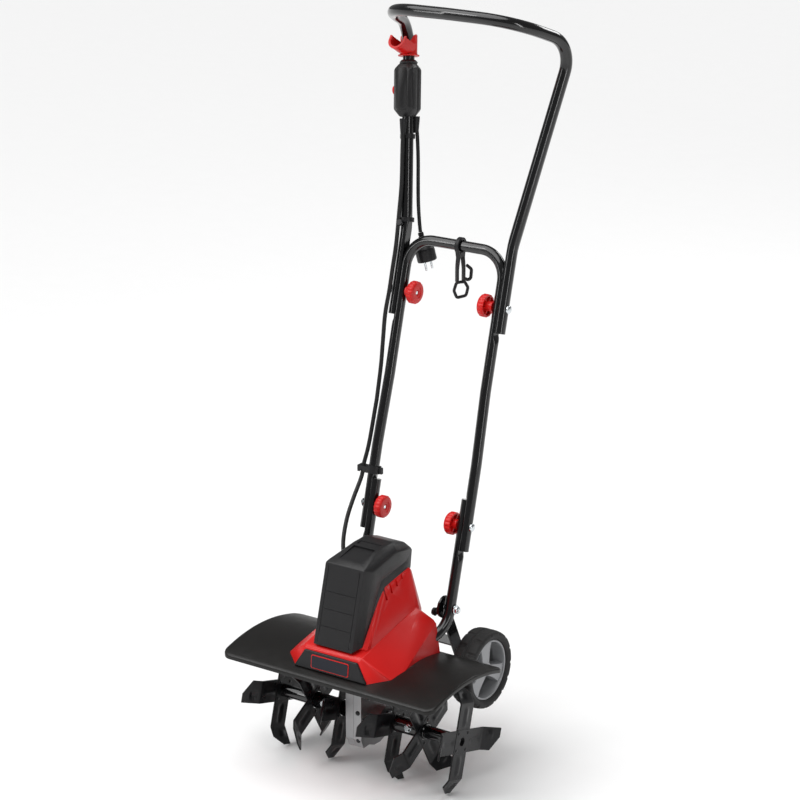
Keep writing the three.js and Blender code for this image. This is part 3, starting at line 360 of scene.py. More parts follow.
def hull(points):
    """The convex solid around some points."""
    work = bmesh.new()
    for p in points:
        work.verts.new(p)
    bmesh.ops.convex_hull(work, input=work.verts)
    loose = [v for v in work.verts if not v.link_faces]
    bmesh.ops.delete(work, geom=loose, context="VERTS")
    bmesh.ops.dissolve_limit(work, angle_limit=math.radians(1), verts=work.verts, edges=work.edges)
    work.verts.index_update()
    shape = [tuple(v.co) for v in work.verts], [tuple(v.index for v in f.verts) for f in work.faces]
    work.free()
    return shape


def both_sides(points):
    """The points and their copies on the other side of x = 0."""
    return [(side * x, y, z) for x, y, z in points for side in (1, -1)]


def cut(obj, shapes):
    """Takes closed shapes out of a piece, before its edges are rounded."""
    for verts, faces in shapes:
        mesh = bpy.data.meshes.new("cutter")
        mesh.from_pydata([world(v) for v in verts], [], faces)
        work = bmesh.new()
        work.from_mesh(mesh)
        bmesh.ops.recalc_face_normals(work, faces=work.faces)
        work.to_mesh(mesh)
        work.free()
        tool = bpy.data.objects.new("cutter", mesh)
        bpy.context.scene.collection.objects.link(tool)
        boolean = obj.modifiers.new("cut", "BOOLEAN")
        boolean.operation = "DIFFERENCE"
        boolean.solver = "EXACT"
        boolean.object = tool
        apply_modifiers(obj)
        bpy.data.objects.remove(tool)


def apply_modifiers(obj):
    """Bakes a piece's modifiers into its mesh."""
    bpy.context.view_layer.update()
    evaluated = obj.evaluated_get(bpy.context.evaluated_depsgraph_get())
    mesh = bpy.data.meshes.new_from_object(evaluated)
    old = obj.data
    obj.modifiers.clear()
    obj.data = mesh
    bpy.data.meshes.remove(old)


def shade(obj, angle):
    """Smooth shading, with edges sharper than angle kept."""
    obj.data.polygons.foreach_set("use_smooth", [True] * len(obj.data.polygons))
    obj.data.set_sharp_from_angle(angle=math.radians(angle))


def hex_bolt(centre, axis, radius, height, washer=0):
    """A hexagon head with a domed top, on a washer."""

    def facet(a, along, r):
        """How far the hexagon stands outside its inner circle."""
        if not 0.2 < along < height * 0.8:
            return 0
        return r * (1 / math.cos((a + math.pi / 6) % (math.pi / 3) - math.pi / 6) - 1)

    head = lathe([(0, 0), (0, radius * 0.95), (0.3, radius), (height * 0.75, radius), (height, radius * 0.8),
                  (height, 0)], centre, axis, 36, facet)
    if not washer:
        return head
    centre = Vector(centre)
    flat = lathe([(-1.2, 0), (-1.2, washer), (-0.2, washer), (0, washer * 0.96), (0, 0)], centre, axis, 36)
    return merge(head, flat)


def domed_bolt(centre, axis, radius, height):
    """A round bolt head with a low dome."""
    profile = [(0, 0), (0, radius), (height * 0.2, radius)]
    profile += [(height * (0.2 + 0.8 * math.sin(a)), radius * math.cos(a)) for a in (0.3, 0.6, 0.9, 1.2, 1.5)]
    return lathe([*profile, (height, 0)], centre, axis, 32)


# ---------------------------------------- handle cords, made before the looks
def left_leg(z):
    """The centre of the upper handle's left leg."""
    return Vector((-(HANDLE_X + HANDLE_FLARE * max(0, z - HANDLE_KINK_Z)), lean_y(z), z))


def beside(z, dx, dy):
    """A point next to the left leg."""
    return left_leg(z) + Vector((dx, dy, 0))


def make_cords():
    """The plug lead, and the motor cord in two tubes that meet on the middle frame."""
    clear = HANDLE_RADIUS + CORD_RADIUS + 1.5
    lead = [
        beside(1136, 10, clear - 4), beside(1110, 12, clear - 2), beside(1070, 13, clear),
        beside(1030, 13, clear + 1), beside(995, 14, clear + 1), Vector((-108, 317, 962)),
        Vector((-104, 315, 939)),
    ]
    line = smooth_line(lead, 4)
    verts, faces = sweep(line, LEAD_RADIUS, 16)
    plug_lead = piece("plug_lead_rubber", verts, faces, CORD, "top_handle", ["plug_lead"])
    plug = make_plug(lead[6])

    upper = [
        beside(1142, 1, -clear), beside(1090, 0, -clear), beside(1030, -1, -clear), beside(975, -6, -clear),
        beside(925, -8, -clear + 0.5), beside(880, -8, -16), beside(840, -8, -16), beside(797.2, -10, -15),
        Vector((-126, lean_y(745) - 8, 745)), Vector((-125, lean_y(700) - 4, 700)),
        Vector((-124.5, lean_y(640) - 2, 640)),
    ]
    verts, faces = sweep(smooth_line(upper, 10), CORD_RADIUS, 16)
    top = piece("motor_cord_top", verts, faces, CORD, None, ["motor_cord_upper"])
    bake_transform(top)

    low = [
        Vector((-124.5, lean_y(640) - 2, 640)), Vector((-127, lean_y(560) - 2, 560)),
        Vector((-130.3, lean_y(520) - 4.6, 520)), Vector((-131, lean_y(497) - 5, 497)),
        Vector((-132, 133, 458)),
        Vector((-130, 110, 425)), Vector((-122, 88, 388)), Vector((-106, 72, 352)), Vector((-90, 63, 325)),
        Vector((-80, 58, 306)), Vector((-74, 55.4, 295)),
    ]
    verts, faces = sweep(smooth_line(low, 10), CORD_RADIUS, 16)
    bottom = piece("motor_cord_bottom", verts, faces, CORD, None, ["motor_cord_middle", "motor_cord_lower"])
    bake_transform(bottom)
    profile = [(0, 0), (0, 9), (3, 9), (4, 7), (24, 5.2), (25, 0)]
    gland = lathe(profile, (-70, 53, 286), (-0.42, 0.16, 0.89), 24)
    piece("cord_gland", *gland, BLACK, "chassis")


def make_plug(end):
    """The mains plug: a ribbed boot, a gripping body with flutes, and two round pins."""
    axis = Vector((0.27, 0.04, -1)).normalized()
    sideways = axis.cross(Vector((1, 0, 0))).normalized()

    def flutes(a, along, r):
        """Shallow grooves along the body."""
        return -0.7 * max(0, math.cos(14 * a)) if 35 < along < 55 and r > 17 else 0

    boot = [(1, 0), (1, 5), (3, 5.4), (6, 5.4), (6.4, 4.9), (8, 4.9), (8.4, 5.8), (12, 5.9), (12.4, 5.2),
            (14, 5.3), (14.4, 6.4), (18, 6.8)]
    body = [(19, 8.6), (23, 8.8), (24, 10), (28, 14), (32, 17.6), (35, 18.4), (36, 18.5), (54, 18.5),
            (55.4, 17.9), (56, 17), (56, 0)]
    verts, faces = lathe(boot + body, end, axis, 56, flutes)
    plug = piece("mains_plug_body", verts, faces, BLACK, "top_handle", ["mains_plug"], angle=40)
    pins = []
    for side in (-1, 1):
        base = end + sideways * side * (PIN_SPACING / 2)
        pins.append(lathe([(55, 0), (55, 2.4), (71, 2.4), (72.6, 1.7), (73, 0)], base, axis, 20))
    piece("plug_pins", *merge(*pins), ZINC, "top_handle")
    return plug


make_cords()


# ---------------------------------------- tubes
def press(verts, face, keep_inside, pivot, below, above):
    """Flattens a swept tube against the plane |x| = face near a joint, easing out at both ends."""
    pressed = []
    for v in verts:
        x, y, z = v
        s = (z - pivot[1]) / 0.966
        ease = max(0, -below - s, s - above) * 0.55
        limit = face + ease if keep_inside else face - ease
        size = min(abs(x), limit) if keep_inside else max(abs(x), limit)
        pressed.append((math.copysign(size, x), y, z))
    return pressed


def make_lower_frame():
    """Two bent tubes from the joints down into the housing."""
    for name, side in (("left", -1), ("right", 1)):
        corners = [(side * 101, lean_y(498), 498), (side * 100, 101, 255), (side * 66, -30, 255)]
        line = dense(rounded_path(corners, [0, 60, 0]), 6)
        verts, faces = sweep(line, FRAME_RADIUS, 32)
        verts = press(verts, LOWER_FACE_X - 0.2, True, LOWER_PIVOT, JOINT_OVERLAP, JOINT_OVERLAP)
        node = f"lower_frame_tube_{name}"
        piece(f"lower_tube_{name}", verts, faces, FRAME_PAINT, "chassis", [node], angle=50)


def make_middle_frame():
    """The bow between the joints: wide below, narrower above, pressed flat at all four joints."""
    half = [(x, lean_y(z), z) for x, z in ((109.5, 407), (109.5, 560), (105.5, 690), (105.5, MIDDLE_BAR_Z))]
    corners = half + [(-x, y, z) for x, y, z in reversed(half)]
    line = dense(rounded_path(corners, [0, 60, 60, 52, 52, 60, 60, 0]), 6)
    verts, faces = sweep(line, FRAME_RADIUS, 32)
    verts = [v if v[2] > 620 else p for v, p in
             zip(verts, press(verts, LOWER_FACE_X + 0.2, False, LOWER_PIVOT, JOINT_OVERLAP, JOINT_OVERLAP))]
    verts = [v if v[2] < 700 else p for v, p in
             zip(verts, press(verts, UPPER_FACE_X - 0.2, True, UPPER_PIVOT, JOINT_OVERLAP, 400))]
    piece("middle_tube", verts, faces, FRAME_PAINT, "middle_handle", ["middle_frame"], angle=50)


def handle_line():
    """The upper handle's middle line, from foot to foot over the grip bar."""
    knee_x = HANDLE_X + HANDLE_FLARE * (HANDLE_KNEE_Z - HANDLE_KINK_Z)
    tilt = math.radians(68.4)
    forward = Vector((0, -math.sin(tilt), math.cos(tilt)))
    knee = Vector((knee_x, lean_y(HANDLE_KNEE_Z), HANDLE_KNEE_Z))
    corner = knee + forward * 145 - Vector((40, 0, 0))
    middle = Vector((0, corner.y, corner.z)) + forward * 12
    half = [Vector((HANDLE_X, lean_y(z), z)) for z in (HANDLE_FOOT_Z, HANDLE_KINK_Z)] + [knee, corner]
    corners = half + [middle] + [Vector((-p.x, p.y, p.z)) for p in reversed(half)]
    return dense(rounded_path(corners, [0, 110, 57, 92, 900, 92, 57, 110, 0]), 6)


def make_upper_handle():
    """The handle tube, pressed flat at the upper joints."""
    verts, faces = sweep(handle_line(), HANDLE_RADIUS, 36)
    verts = [v if v[2] > 1080 else p for v, p in
             zip(verts, press(verts, UPPER_FACE_X + 0.2, False, UPPER_PIVOT, JOINT_OVERLAP, 135))]
    piece("handle_tube", verts, faces, FRAME_PAINT, "top_handle", ["upper_handle"], angle=50)


# ---------------------------------------- knobs and joint bolts
def make_knobs():
    """Four star knobs on the inside, with the bolts they turn on."""
    joints = [
        ("lower", LOWER_PIVOT, 91, "chassis", 119.5),
        ("upper", UPPER_PIVOT, 95.5, "middle_handle", 126.5),
    ]

    def flutes(a, along, r):
        """Grooves round the knob's rim."""
        return -1.1 * max(0, math.cos(16 * a)) if r > 20 else 0

    for level, pivot, inner_x, owner, outer_x in joints:
        for name, side in (("left", -1), ("right", 1)):
            centre = (side * KNOB_FACE_X, *pivot)
            stem = inner_x - KNOB_FACE_X - 0.6
            cap = [(4.4, 0), (4.4, 4.4), (1.6, 5), (1.2, 6), (1.2, 10.5), (0, 11.5), (0, 17), (0.6, 19),
                   (2.2, 20.7), (3.5, 21.3), (12.5, 21.3), (14, 20.4), (14, 17.5), (9, 17.2), (9, 9.6),
                   (stem, 9), (stem, 0)]
            verts, faces = lathe(cap, centre, (side, 0, 0), 96, flutes)
            webs = []
            for k in range(6):
                web = box((8.5, 9, -0.9), (13.6, 18.5, 0.9))
                turn = Matrix.Translation(centre) @ Matrix.Rotation(math.radians(60 * k), 4, "X")
                flip = Matrix.Diagonal((side, 1, 1, 1))
                webs.append(moved(web, turn @ flip))
            verts, faces = merge((verts, faces), *webs)
            knob = f"{level}_knob_{name}"
            piece(f"{level}_star_knob_{name}", verts, faces, RED, knob, [knob], angle=35)
            out = (side, 0, 0)
            tip = [(0, 0), (0, 3), (0.6, 3.6), (4, 3.6), (4, 0)]
            end = lathe(tip, (side * 72.6, *pivot), out, 24)
            head = domed_bolt((side * (outer_x + 0.3), *pivot), out, 8, 5)
            collar = lathe([(-3, 0), (-3, 5), (0, 5), (0, 0)], (side * (outer_x + 0.6), *pivot), out, 20)
            bolt = merge(end, head, collar)
            piece(f"{level}_bolt_{name}", *bolt, ZINC, owner, [f"{level}_joint_bolt_{name}"])


# ---------------------------------------- tines
def blade_shape(bend):
    """One blade from the hub out: a ribbed plate, folded at its crease, with one corner cut off."""
    half, crease, length, corner_cut = 21.5, 70, 37, 18
    rib_height, rib_half, rib_start, rib_end, pocket_depth = 2.2, 6, 26, 64, 1.6
    columns = [-1, -0.94, -0.75, -0.5, -0.32, -0.16, 0, 0.16, 0.32, 0.5, 0.75, 0.94, 1]
    rows = [18 + 3 * i for i in range(18)] + [71 + 2 * i for i in range(19)]
    angle = math.radians(32) * bend

    def place(s, t, offset):
        """The blade's point at s along it and t across it, with the rib, the pocket and the fold."""
        v = t * half
        along = s - crease
        fade = min(1, max(0, (s - rib_start) / 6), max(0, (rib_end - s) / 6))
        rib = rib_height * max(0, 1 - (abs(v) / rib_half) ** 2) * fade
        if along > 6:
            pocket = max(abs(v + 7) / 8, abs(along - 15) / 7)
            rib -= pocket_depth * max(0, min(1, (1 - pocket) * 3))
        d = offset + rib * -bend
        ease = 5
        if along <= -ease:
            return (d, v, s)
        swing = angle * min(1, (along + ease) / (2 * ease))
        reach = max(0, along)
        z = crease + reach * math.cos(angle) - d * math.sin(swing)
        if along < 0:
            z = s - d * math.sin(swing)
        return (d * math.cos(swing) + reach * math.sin(angle), v, z)

    def outline(s, t):
        """Clips the row's ends to the diagonal cut."""
        along = s - crease
        if along <= length - corner_cut:
            return t
        high = 1 - (along - length + corner_cut) / corner_cut * 1.2
        return (t + 1) / 2 * (high + 1) - 1

    verts, faces = [], []
    n = len(columns)
    for offset in (1.5, -1.5):
        for s in rows:
            verts += [place(s, outline(s, t), offset) for t in columns]
    sheet = len(rows) * n
    for i in range(len(rows) - 1):
        for j in range(n - 1):
            a = i * n + j
            faces.append((a, a + 1, a + n + 1, a + n))
            faces.append((sheet + a, sheet + a + n, sheet + a + n + 1, sheet + a + 1))
        for j in (0, n - 1):
            a = i * n + j
            faces.append((a, a + n, sheet + a + n, sheet + a))
    last = (len(rows) - 1) * n
    for j in range(n - 1):
        faces.append((last + j, last + j + 1, sheet + last + j + 1, sheet + last + j))
    return verts, faces


def hub_plate(bore):
    """The star's square hub with rounded corners and a round hole."""
    half, count = 22.5, 64
    verts, faces = [], []

    def edge(a):
        """The rounded square's radius at an angle."""
        return min(half / max(abs(math.cos(a)), abs(math.sin(a))), half * 1.28)

    def hole(a):
        return bore

    for x in (2.2, -2.2):
        for radius_of in (hole, edge):
            for j in range(count):
                a = 2 * math.pi * j / count
                verts.append((x, radius_of(a) * math.cos(a), radius_of(a) * math.sin(a)))
    front_in, front_out, back_in, back_out = 0, count, 2 * count, 3 * count
    for j in range(count):
        k = (j + 1) % count
        faces.append((front_in + j, front_out + j, front_out + k, front_in + k))
        faces.append((back_in + j, back_in + k, back_out + k, back_out + j))
        faces.append((front_out + j, back_out + j, back_out + k, front_out + k))
        faces.append((front_in + j, front_in + k, back_in + k, back_in + j))
    return verts, faces


def make_tines():
    """Three stars, a sleeve and its screw on each side of the gearbox."""
    stars = (("inner", TINE_PHASE, 1, 16), ("middle", TINE_PHASE + 45, 1, 16), ("outer", TINE_PHASE, -1, 8))
    for name, side in (("left", -1), ("right", 1)):
        for place, phase, bend, bore in stars:
            shapes = [hub_plate(bore)]
            for k in range(4):
                turn = Matrix.Rotation(math.radians(90 * k), 4, "X")
                blade = blade_shape(side * bend * (1 if k % 2 == 0 else -1))
                shapes.append(moved(blade, turn))
                for x in (-1, 1):
                    rivet = lathe([(1.8, 0), (1.8, 3.4), (3, 2.8), (3.6, 0)], (0, 0, 0), (x, 0, 0), 16)
                    spot = Matrix.Rotation(math.radians(90 * k + 45), 4, "X") @ Matrix.Translation((0, 0, 22))
                    shapes.append(moved(rivet, spot))
            turn = Matrix.Rotation(math.radians(phase), 4, "X")
            put = Matrix.Translation((side * STAR_X[place], 0, AXLE_Z)) @ turn
            verts, faces = moved(merge(*shapes), put)
            piece(f"tine_blades_{place}_{name}", verts, faces, TINE_PAINT, "tine_drive",
                  [f"tine_star_{place}_{name}"], angle=28, bevel=0.5, segments=1)
        axis = (side, 0, 0)
        tube = [(37, 8.6), (37, 17.4), (38, 18), (40.5, 18), (42.5, 16), (44, 15.1), (125.4, 15.1),
                (126.2, 14.4), (126.6, 12), (197.2, 12), (198, 11.4), (198, 8.6)]
        piece(f"sleeve_{name}", *lathe(tube, (0, 0, AXLE_Z), axis, 48), FRAME_PAINT, "tine_drive",
              [f"tine_sleeve_{name}"], angle=35)
        along = Matrix.Rotation(math.radians(TINE_PHASE), 3, "X") @ Vector((0, -1, 0))
        seat = Vector((side * 94, 0, AXLE_Z)) + along * 15.4
        nut = Vector((side * 94, 0, AXLE_Z)) - along * 15.4
        head = merge(hex_bolt(seat + along * 0.8, along, 6.4, 5, 7.6), hex_bolt(nut, -along, 6, 5.6))
        piece(f"sleeve_screw_{name}", *head, ZINC, "tine_drive", [f"sleeve_bolt_{name}"])


# ---------------------------------------- wheels and their bracket
def step_up(value, edge, width):
    """0 before edge, 1 after it, smoothly over width."""
    t = min(1, max(0, (value - edge) / width + 0.5))
    return t * t * (3 - 2 * t)


def tyre_shape(side):
    """A tyre with staggered shoulder lugs and a zigzag groove round its middle."""
    lugs, around, half_width = 15, 240, 23
    tread_radius, crown_drop, lug_depth, groove_depth = 74.6, 3.2, 2.6, 1.6
    across = [-23, -22.6, -21, -18, -14, -10, -6, -3, -1.4, 0, 1.4, 3, 6, 10, 14, 18, 21, 22.6, 23]
    sections = []
    for j in range(around):
        a = 2 * math.pi * j / around
        ring = []
        for v in across:
            crown = tread_radius - crown_drop * (abs(v) / half_width) ** 4
            beat = (a * lugs / (2 * math.pi) + (0.25 if v > 0 else -0.25)) % 1
            lug = step_up(beat, 0.08, 0.07) - step_up(beat, 0.92, 0.07)
            depth = lug_depth * (1 - lug) * step_up(abs(v), 5, 3)
            depth += groove_depth * (1 - step_up(abs(v), 2.2, 2))
            if abs(v) > 22.8:
                ring.append((v, 66, a))
            else:
                ring.append((v, crown - depth - (1.6 if abs(v) > 22 else 0), a))
        ring += [(21.5, 60, a), (19, 57.9, a), (-19, 57.9, a), (-21.5, 60, a)]
        sections.append([(side * WHEEL["x"] + v, WHEEL["y"] + r * math.cos(b), WHEEL["z"] + r * math.sin(b))
                         for v, r, b in ring])
    count = len(sections[0])
    verts = [p for ring in sections for p in ring]
    faces = []
    for i in range(around):
        for j in range(count):
            k, m = (j + 1) % count, (i + 1) % around
            faces.append((i * count + j, m * count + j, m * count + k, i * count + k))
    return verts, faces


def rim_shapes(side):
    """A dished rim, a stepped hub and three wide spokes with raised edges."""
    centre = (side * WHEEL["x"], WHEEL["y"], WHEEL["z"])
    ring = [(-18, 52.5), (-18, 57.2), (15.5, 57.4), (17.6, 57.4), (18.4, 56.6), (18.4, 54.4), (17.4, 53.4),
            (13, 52.4), (-4, 50), (-6, 49.5), (-17, 52)]
    closed = [*ring, ring[0]]
    shapes = [lathe(closed, centre, (side, 0, 0), 96)]
    hub = [(-18, 6.4), (-18, 13), (11, 14.5), (13.2, 13.5), (13.8, 11), (13.8, 6.4), (-18, 6.4)]
    shapes.append(lathe(hub, centre, (side, 0, 0), 48))
    widths = ((9, 11, 13), (18, 12, 13), (30, 13.5, 13.4), (42, 16, 14), (53.5, 20, 15.5))
    for k in range(3):
        profile = []
        for radius, half, front in widths:
            left = [(-2, -half - 1.5, radius), (front - 2, -half, radius), (front, -half + 1.2, radius)]
            profile.append(left + [(x, -y, r) for x, y, r in reversed(left)])
        spoke = rings(profile)
        put = Matrix.Translation(centre) @ Matrix.Rotation(math.radians(120 * k + 5), 4, "X")
        shapes.append(moved(spoke, put @ Matrix.Diagonal((side, 1, 1, 1))))
    return merge(*shapes)


def make_wheels():
    """Both wheels, their caps, and the screws that the bracket swings on."""
    for name, side in (("left", -1), ("right", 1)):
        verts, faces = tyre_shape(side)
        piece(f"tyre_tread_{name}", verts, faces, RUBBER, f"wheel_{name}", [f"tyre_{name}"], angle=38)
        verts, faces = rim_shapes(side)
        piece(f"rim_{name}", verts, faces, RIM, f"wheel_{name}", [f"wheel_rim_{name}"], angle=30, bevel=0.6)
        profile = [(0, 0), (0, 9), (2, 8.6), (4.6, 5), (5.4, 0)]
        cap = lathe(profile, (side * 141, WHEEL["y"], WHEEL["z"]), (side, 0, 0), 32)
        piece(f"axle_cap_{name}", *cap, ZINC, "wheel_bracket")
        seat = (side * 113, *BRACKET_PIVOT)
        stud = lathe([(-4, 0), (-4, 4), (7.4, 4), (8, 3.2), (8, 0)], seat, (side, 0, 0), 20)
        screw = merge(hex_bolt(seat, (side, 0, 0), 6.4, 5.6, 9), stud)
        inner = hex_bolt((side * 83.4, *BRACKET_PIVOT), (-side, 0, 0), 6.6, 4.4)
        piece(f"bracket_screw_{name}", *merge(screw, inner), ZINC, "chassis", [f"bracket_bolt_{name}"])


# ---------------------------------------- guard
def guard_z(y):
    """The arch's height: the parabola through its three stated points."""
    (y1, z1), (y2, z2), (y3, z3) = GUARD_EDGES
    front = z1 * (y - y2) * (y - y3) / ((y1 - y2) * (y1 - y3))
    crown = z2 * (y - y1) * (y - y3) / ((y2 - y1) * (y2 - y3))
    rear = z3 * (y - y1) * (y - y2) / ((y3 - y1) * (y3 - y2))
    return front + crown + rear


def make_guard():
    """The arched sheet with rounded corners, a rolled edge and a lip turned down all round."""
    half_x, corner, thickness, lip = 232, 18, 3, 8
    y1, y2 = GUARD_EDGES[0][0], GUARD_EDGES[-1][0]
    middle_y = (y1 + y2) / 2
    outline = []
    for cx, cy, start in ((half_x - corner, y2 - corner, 0), (-half_x + corner, y2 - corner, 90),
                          (-half_x + corner, y1 + corner, 180), (half_x - corner, y1 + corner, 270)):
        outline += [(cx, cy, math.radians(start + 90 * k / 10)) for k in range(11)]
    dense_outline = []
    for i, (cx, cy, a) in enumerate(outline):
        nx, ny, na = outline[(i + 1) % len(outline)]
        dense_outline.append((cx, cy, a))
        if (cx, cy) != (nx, ny):
            dense_outline += [(cx + (nx - cx) * k / 24, cy + (ny - cy) * k / 24, a) for k in range(1, 24)]

    def ring(inset, drop):
        """The outline moved inwards and down from the arch."""
        points = []
        for cx, cy, a in dense_outline:
            x, y = cx + (corner - inset) * math.cos(a), cy + (corner - inset) * math.sin(a)
            points.append((x, y, guard_z(y) - drop))
        return points

    steps = ((2.6, lip), (0.2, lip), (0, lip - 1), (0, 2.4), (0.7, 0.8), (2.4, 0.1), (6, 0))
    edge = [ring(inset, drop) for inset, drop in steps]

    def shrunk(points, scale, drop):
        """A ring drawn in towards the guard's middle, kept on the arch or drop below it."""
        flat = [(x * scale, (y - middle_y) * scale + middle_y) for x, y, _ in points]
        return [(x, y, guard_z(y) - drop) for x, y in flat]

    top = [shrunk(ring(6, 0), s, 0) for s in (0.9, 0.75, 0.6, 0.45, 0.3, 0.17)]
    under = [shrunk(ring(2.6, 0), s, thickness) for s in (0.17, 0.3, 0.45, 0.6, 0.75, 0.9, 1)]
    skin = edge + top + under
    count = len(skin[0])
    verts = [p for r in skin for p in r]
    faces = []
    for i in range(len(skin)):
        m = (i + 1) % len(skin)
        for j in range(count):
            k = (j + 1) % count
            faces.append((i * count + j, i * count + k, m * count + k, m * count + j))
    piece("guard_sheet", verts, faces, GUARD, "chassis", ["tine_guard"], angle=45)


# ---------------------------------------- housing, cover and front panel
BASE = both_sides([
    (81, -123, 226), (59, -119, 268), (122, -90, 230), (108, 40, 231), (102, 80, 222), (66, 94, 220),
    (96, 74, 288), (62, 60, 314), (40, 96, 292), (62, -114, 274), (66, 88, 284),
])
TOWER = both_sides([
    (62, -92, 276), (64, 70, 300), (46, -97, 284), (49, -44, 356), (49, -22, 377), (49, 58, 389),
    (48, 63, 384), (56, 86, 300), (46, 95, 280),
])
COVER_POINTS = both_sides([
    (42, -116, 278), (50, -95, 284), (42, -76, 424), (49, -56, 417), (47, 20, 431), (30, 30, 443),
    (30, -10, 441), (44, 60, 428), (30, 66, 432), (45, 71, 420), (46, 65, 386), (46, 0, 330),
])


def prism(outline, thickness):
    """A flat outline of points drawn out along a vector to both sides."""
    t = Vector(thickness)
    count = len(outline)
    verts = [tuple(Vector(p) - t) for p in outline] + [tuple(Vector(p) + t) for p in outline]
    faces = [tuple(range(count))[::-1], tuple(range(count, 2 * count))]
    faces += [(i, (i + 1) % count, count + (i + 1) % count, count + i) for i in range(count)]
    return verts, faces


def make_housing():
    """The red housing: a broad base and a tower with louvres, and raised lines on the base."""
    louvres = []
    for k in range(4):
        y, z = -24 + 17 * k, 352 + 8 * k
        slot = [(55, y, z), (55, y + 5.5, z - 1), (55, y + 0.5, z + 24), (55, y - 3, z + 24)]
        louvres += [prism(slot, (7, 0, 0)), mirrored(prism(slot, (7, 0, 0)))]
    for name, points, cutters, width in (("housing_base", BASE, [], 4), ("housing_tower", TOWER, louvres, 3)):
        shell = piece(name, *hull(points), RED, "chassis", ["motor_housing"], smooth=False)
        add_bevel(shell, width, 4, 8)
        apply_modifiers(shell)
        cut(shell, cutters)
        shade(shell, 28)
    ribs = []
    for low, high in (((86, -104, 236), (66, 60, 306)), ((108, -80, 236), (95, 70, 284))):
        line = dense([Vector(low), Vector(high)], 12)
        ribs += [sweep(line, 1.1, 10), mirrored(sweep(line, 1.1, 10))]
    piece("housing_ribs", *merge(*ribs), RED, "chassis")


def make_cover():
    """The motor cover: chamfered corners, a front face cut into panels and a sunk top panel."""
    foot, brow = Vector((0, -116, 278)), Vector((0, -76, 424))
    outward = Vector((0, -(brow.z - foot.z), brow.y - foot.y)).normalized()
    grooves = []
    for f in (0.24, 0.45, 0.66):
        level = foot.lerp(brow, f)
        corners = ((-33, -0.4), (33, -0.4), (33, 0.4), (-33, 0.4))
        ends = [level + Vector((x, 0, lift)) for x, lift in corners]
        grooves.append(prism(ends, outward * 0.9))
    for side in (-1, 1):
        edge = [foot.lerp(brow, f) + Vector((side * 34, 0, 0)) for f in (0.04, 0.97)]
        grooves.append(sweep(dense(edge, 20), 0.9, 6))
        line = [Vector((side * x, y, z)) for x, y, z in ((49, -86, 300), (49.4, -32, 392), (47.2, 54, 404))]
        grooves.append(sweep(dense(line, 20), 1.1, 6))
    cover = piece("cover_shell", *hull(COVER_POINTS), COVER, "chassis", ["motor_cover"], smooth=False)
    add_bevel(cover, 1.8, 3, 8)
    apply_modifiers(cover)
    top = [(-25, -58, 429.4), (25, -58, 429.4), (23, 6, 442.4), (-23, 6, 442.4)]
    cut(cover, [*grooves, prism(top, (0, -0.3, 1.5))])
    shade(cover, 20)
    latch = box((-8, 69, 392), (8, 73, 414))
    piece("cover_rear_latch", *latch, COVER, "chassis", bevel=1.2)


def make_panel():
    """The sloping front plate, with a plain badge inside a thin red rim."""
    low, high = (79, -126.4, 231.5), (57.6, -122.6, 266)
    face = [(-low[0], *low[1:]), low, high, (-high[0], *high[1:])]
    rear = [(x, y + 7, z) for x, y, z in face]
    verts = face + rear
    faces = [(0, 1, 2, 3), (7, 6, 5, 4), (0, 4, 5, 1), (1, 5, 6, 2), (2, 6, 7, 3), (3, 7, 4, 0)]
    piece("panel_plate", verts, faces, BLACK, "chassis", ["front_panel"], bevel=1.8, segments=3)
    plates = (("badge_rim", 41, 12.4, 1.3, RED), ("badge_plate", 39.6, 11, 1.9, BADGE))
    for name, half_x, half_z, rise, material in plates:
        outline = []
        for cx, cz, start in ((half_x - 3, half_z - 3, 0), (3 - half_x, half_z - 3, 90),
                              (3 - half_x, 3 - half_z, 180), (half_x - 3, 3 - half_z, 270)):
            for k in range(6):
                a = math.radians(start + 18 * k)
                u, v = cx + 3 * math.cos(a), cz + 3 * math.sin(a)
                outline.append(Vector((u, -124.3 + v * 0.11, 248.5 + v)))
        piece(name, *prism(outline, Vector((0, -1, -0.11)) * rise * 0.9), material, "chassis")


# ---------------------------------------- gearbox details, hook, clips, switch
def make_small_parts():
    """The gearbox's screws, and the bands and boots of the handle's cords."""
    screws = []
    for y, z in ((-51, 76), (-52.6, 131), (-52.6, 190)):
        screws.append(domed_bolt((9.5, y, z), (0, -1, 0), 4.6, 3))
    piece("gearbox_screws", *merge(*screws), BLACK, "chassis")

    up, down = (-0.16, 0.26, 0.95), (0.16, -0.26, -0.95)
    band = lathe([(-4, 12), (-4, 14.4), (4, 14.4), (4, 12), (-4, 12)], left_leg(965), up, 32)
    strap = sweep([left_leg(965) + Vector((-2, -16.5, -3)), left_leg(965) + Vector((-2, -21.5, 0))], 5.6, 16)
    piece("cord_band", *merge(band, strap), BLACK, "top_handle")
    band = lathe([(-4, 12), (-4, 14), (4, 14), (4, 12), (-4, 12)], left_leg(1112), up, 32)
    piece("cord_band_upper", *band, BLACK, "top_handle")
    boots = []
    for dx, dy in ((1, -16.5), (10, 12.5)):
        top = left_leg(SWITCH_Z) + Vector((dx, dy, 0))
        boots.append(lathe([(0, 0), (0, 7), (8, 6.6), (30, 4.9), (31, 0)], top, down, 24))
    piece("cord_boots", *merge(*boots), BLACK, "top_handle")


def leg_point(base, x, y, z):
    """A point in the left leg's own frame: x across, y backwards and z along the leg from height base."""
    up = (left_leg(1250) - left_leg(1150)).normalized()
    across = (Vector((1, 0, 0)) - up * up.x).normalized()
    return left_leg(base) + across * x + up.cross(across) * y + up * z


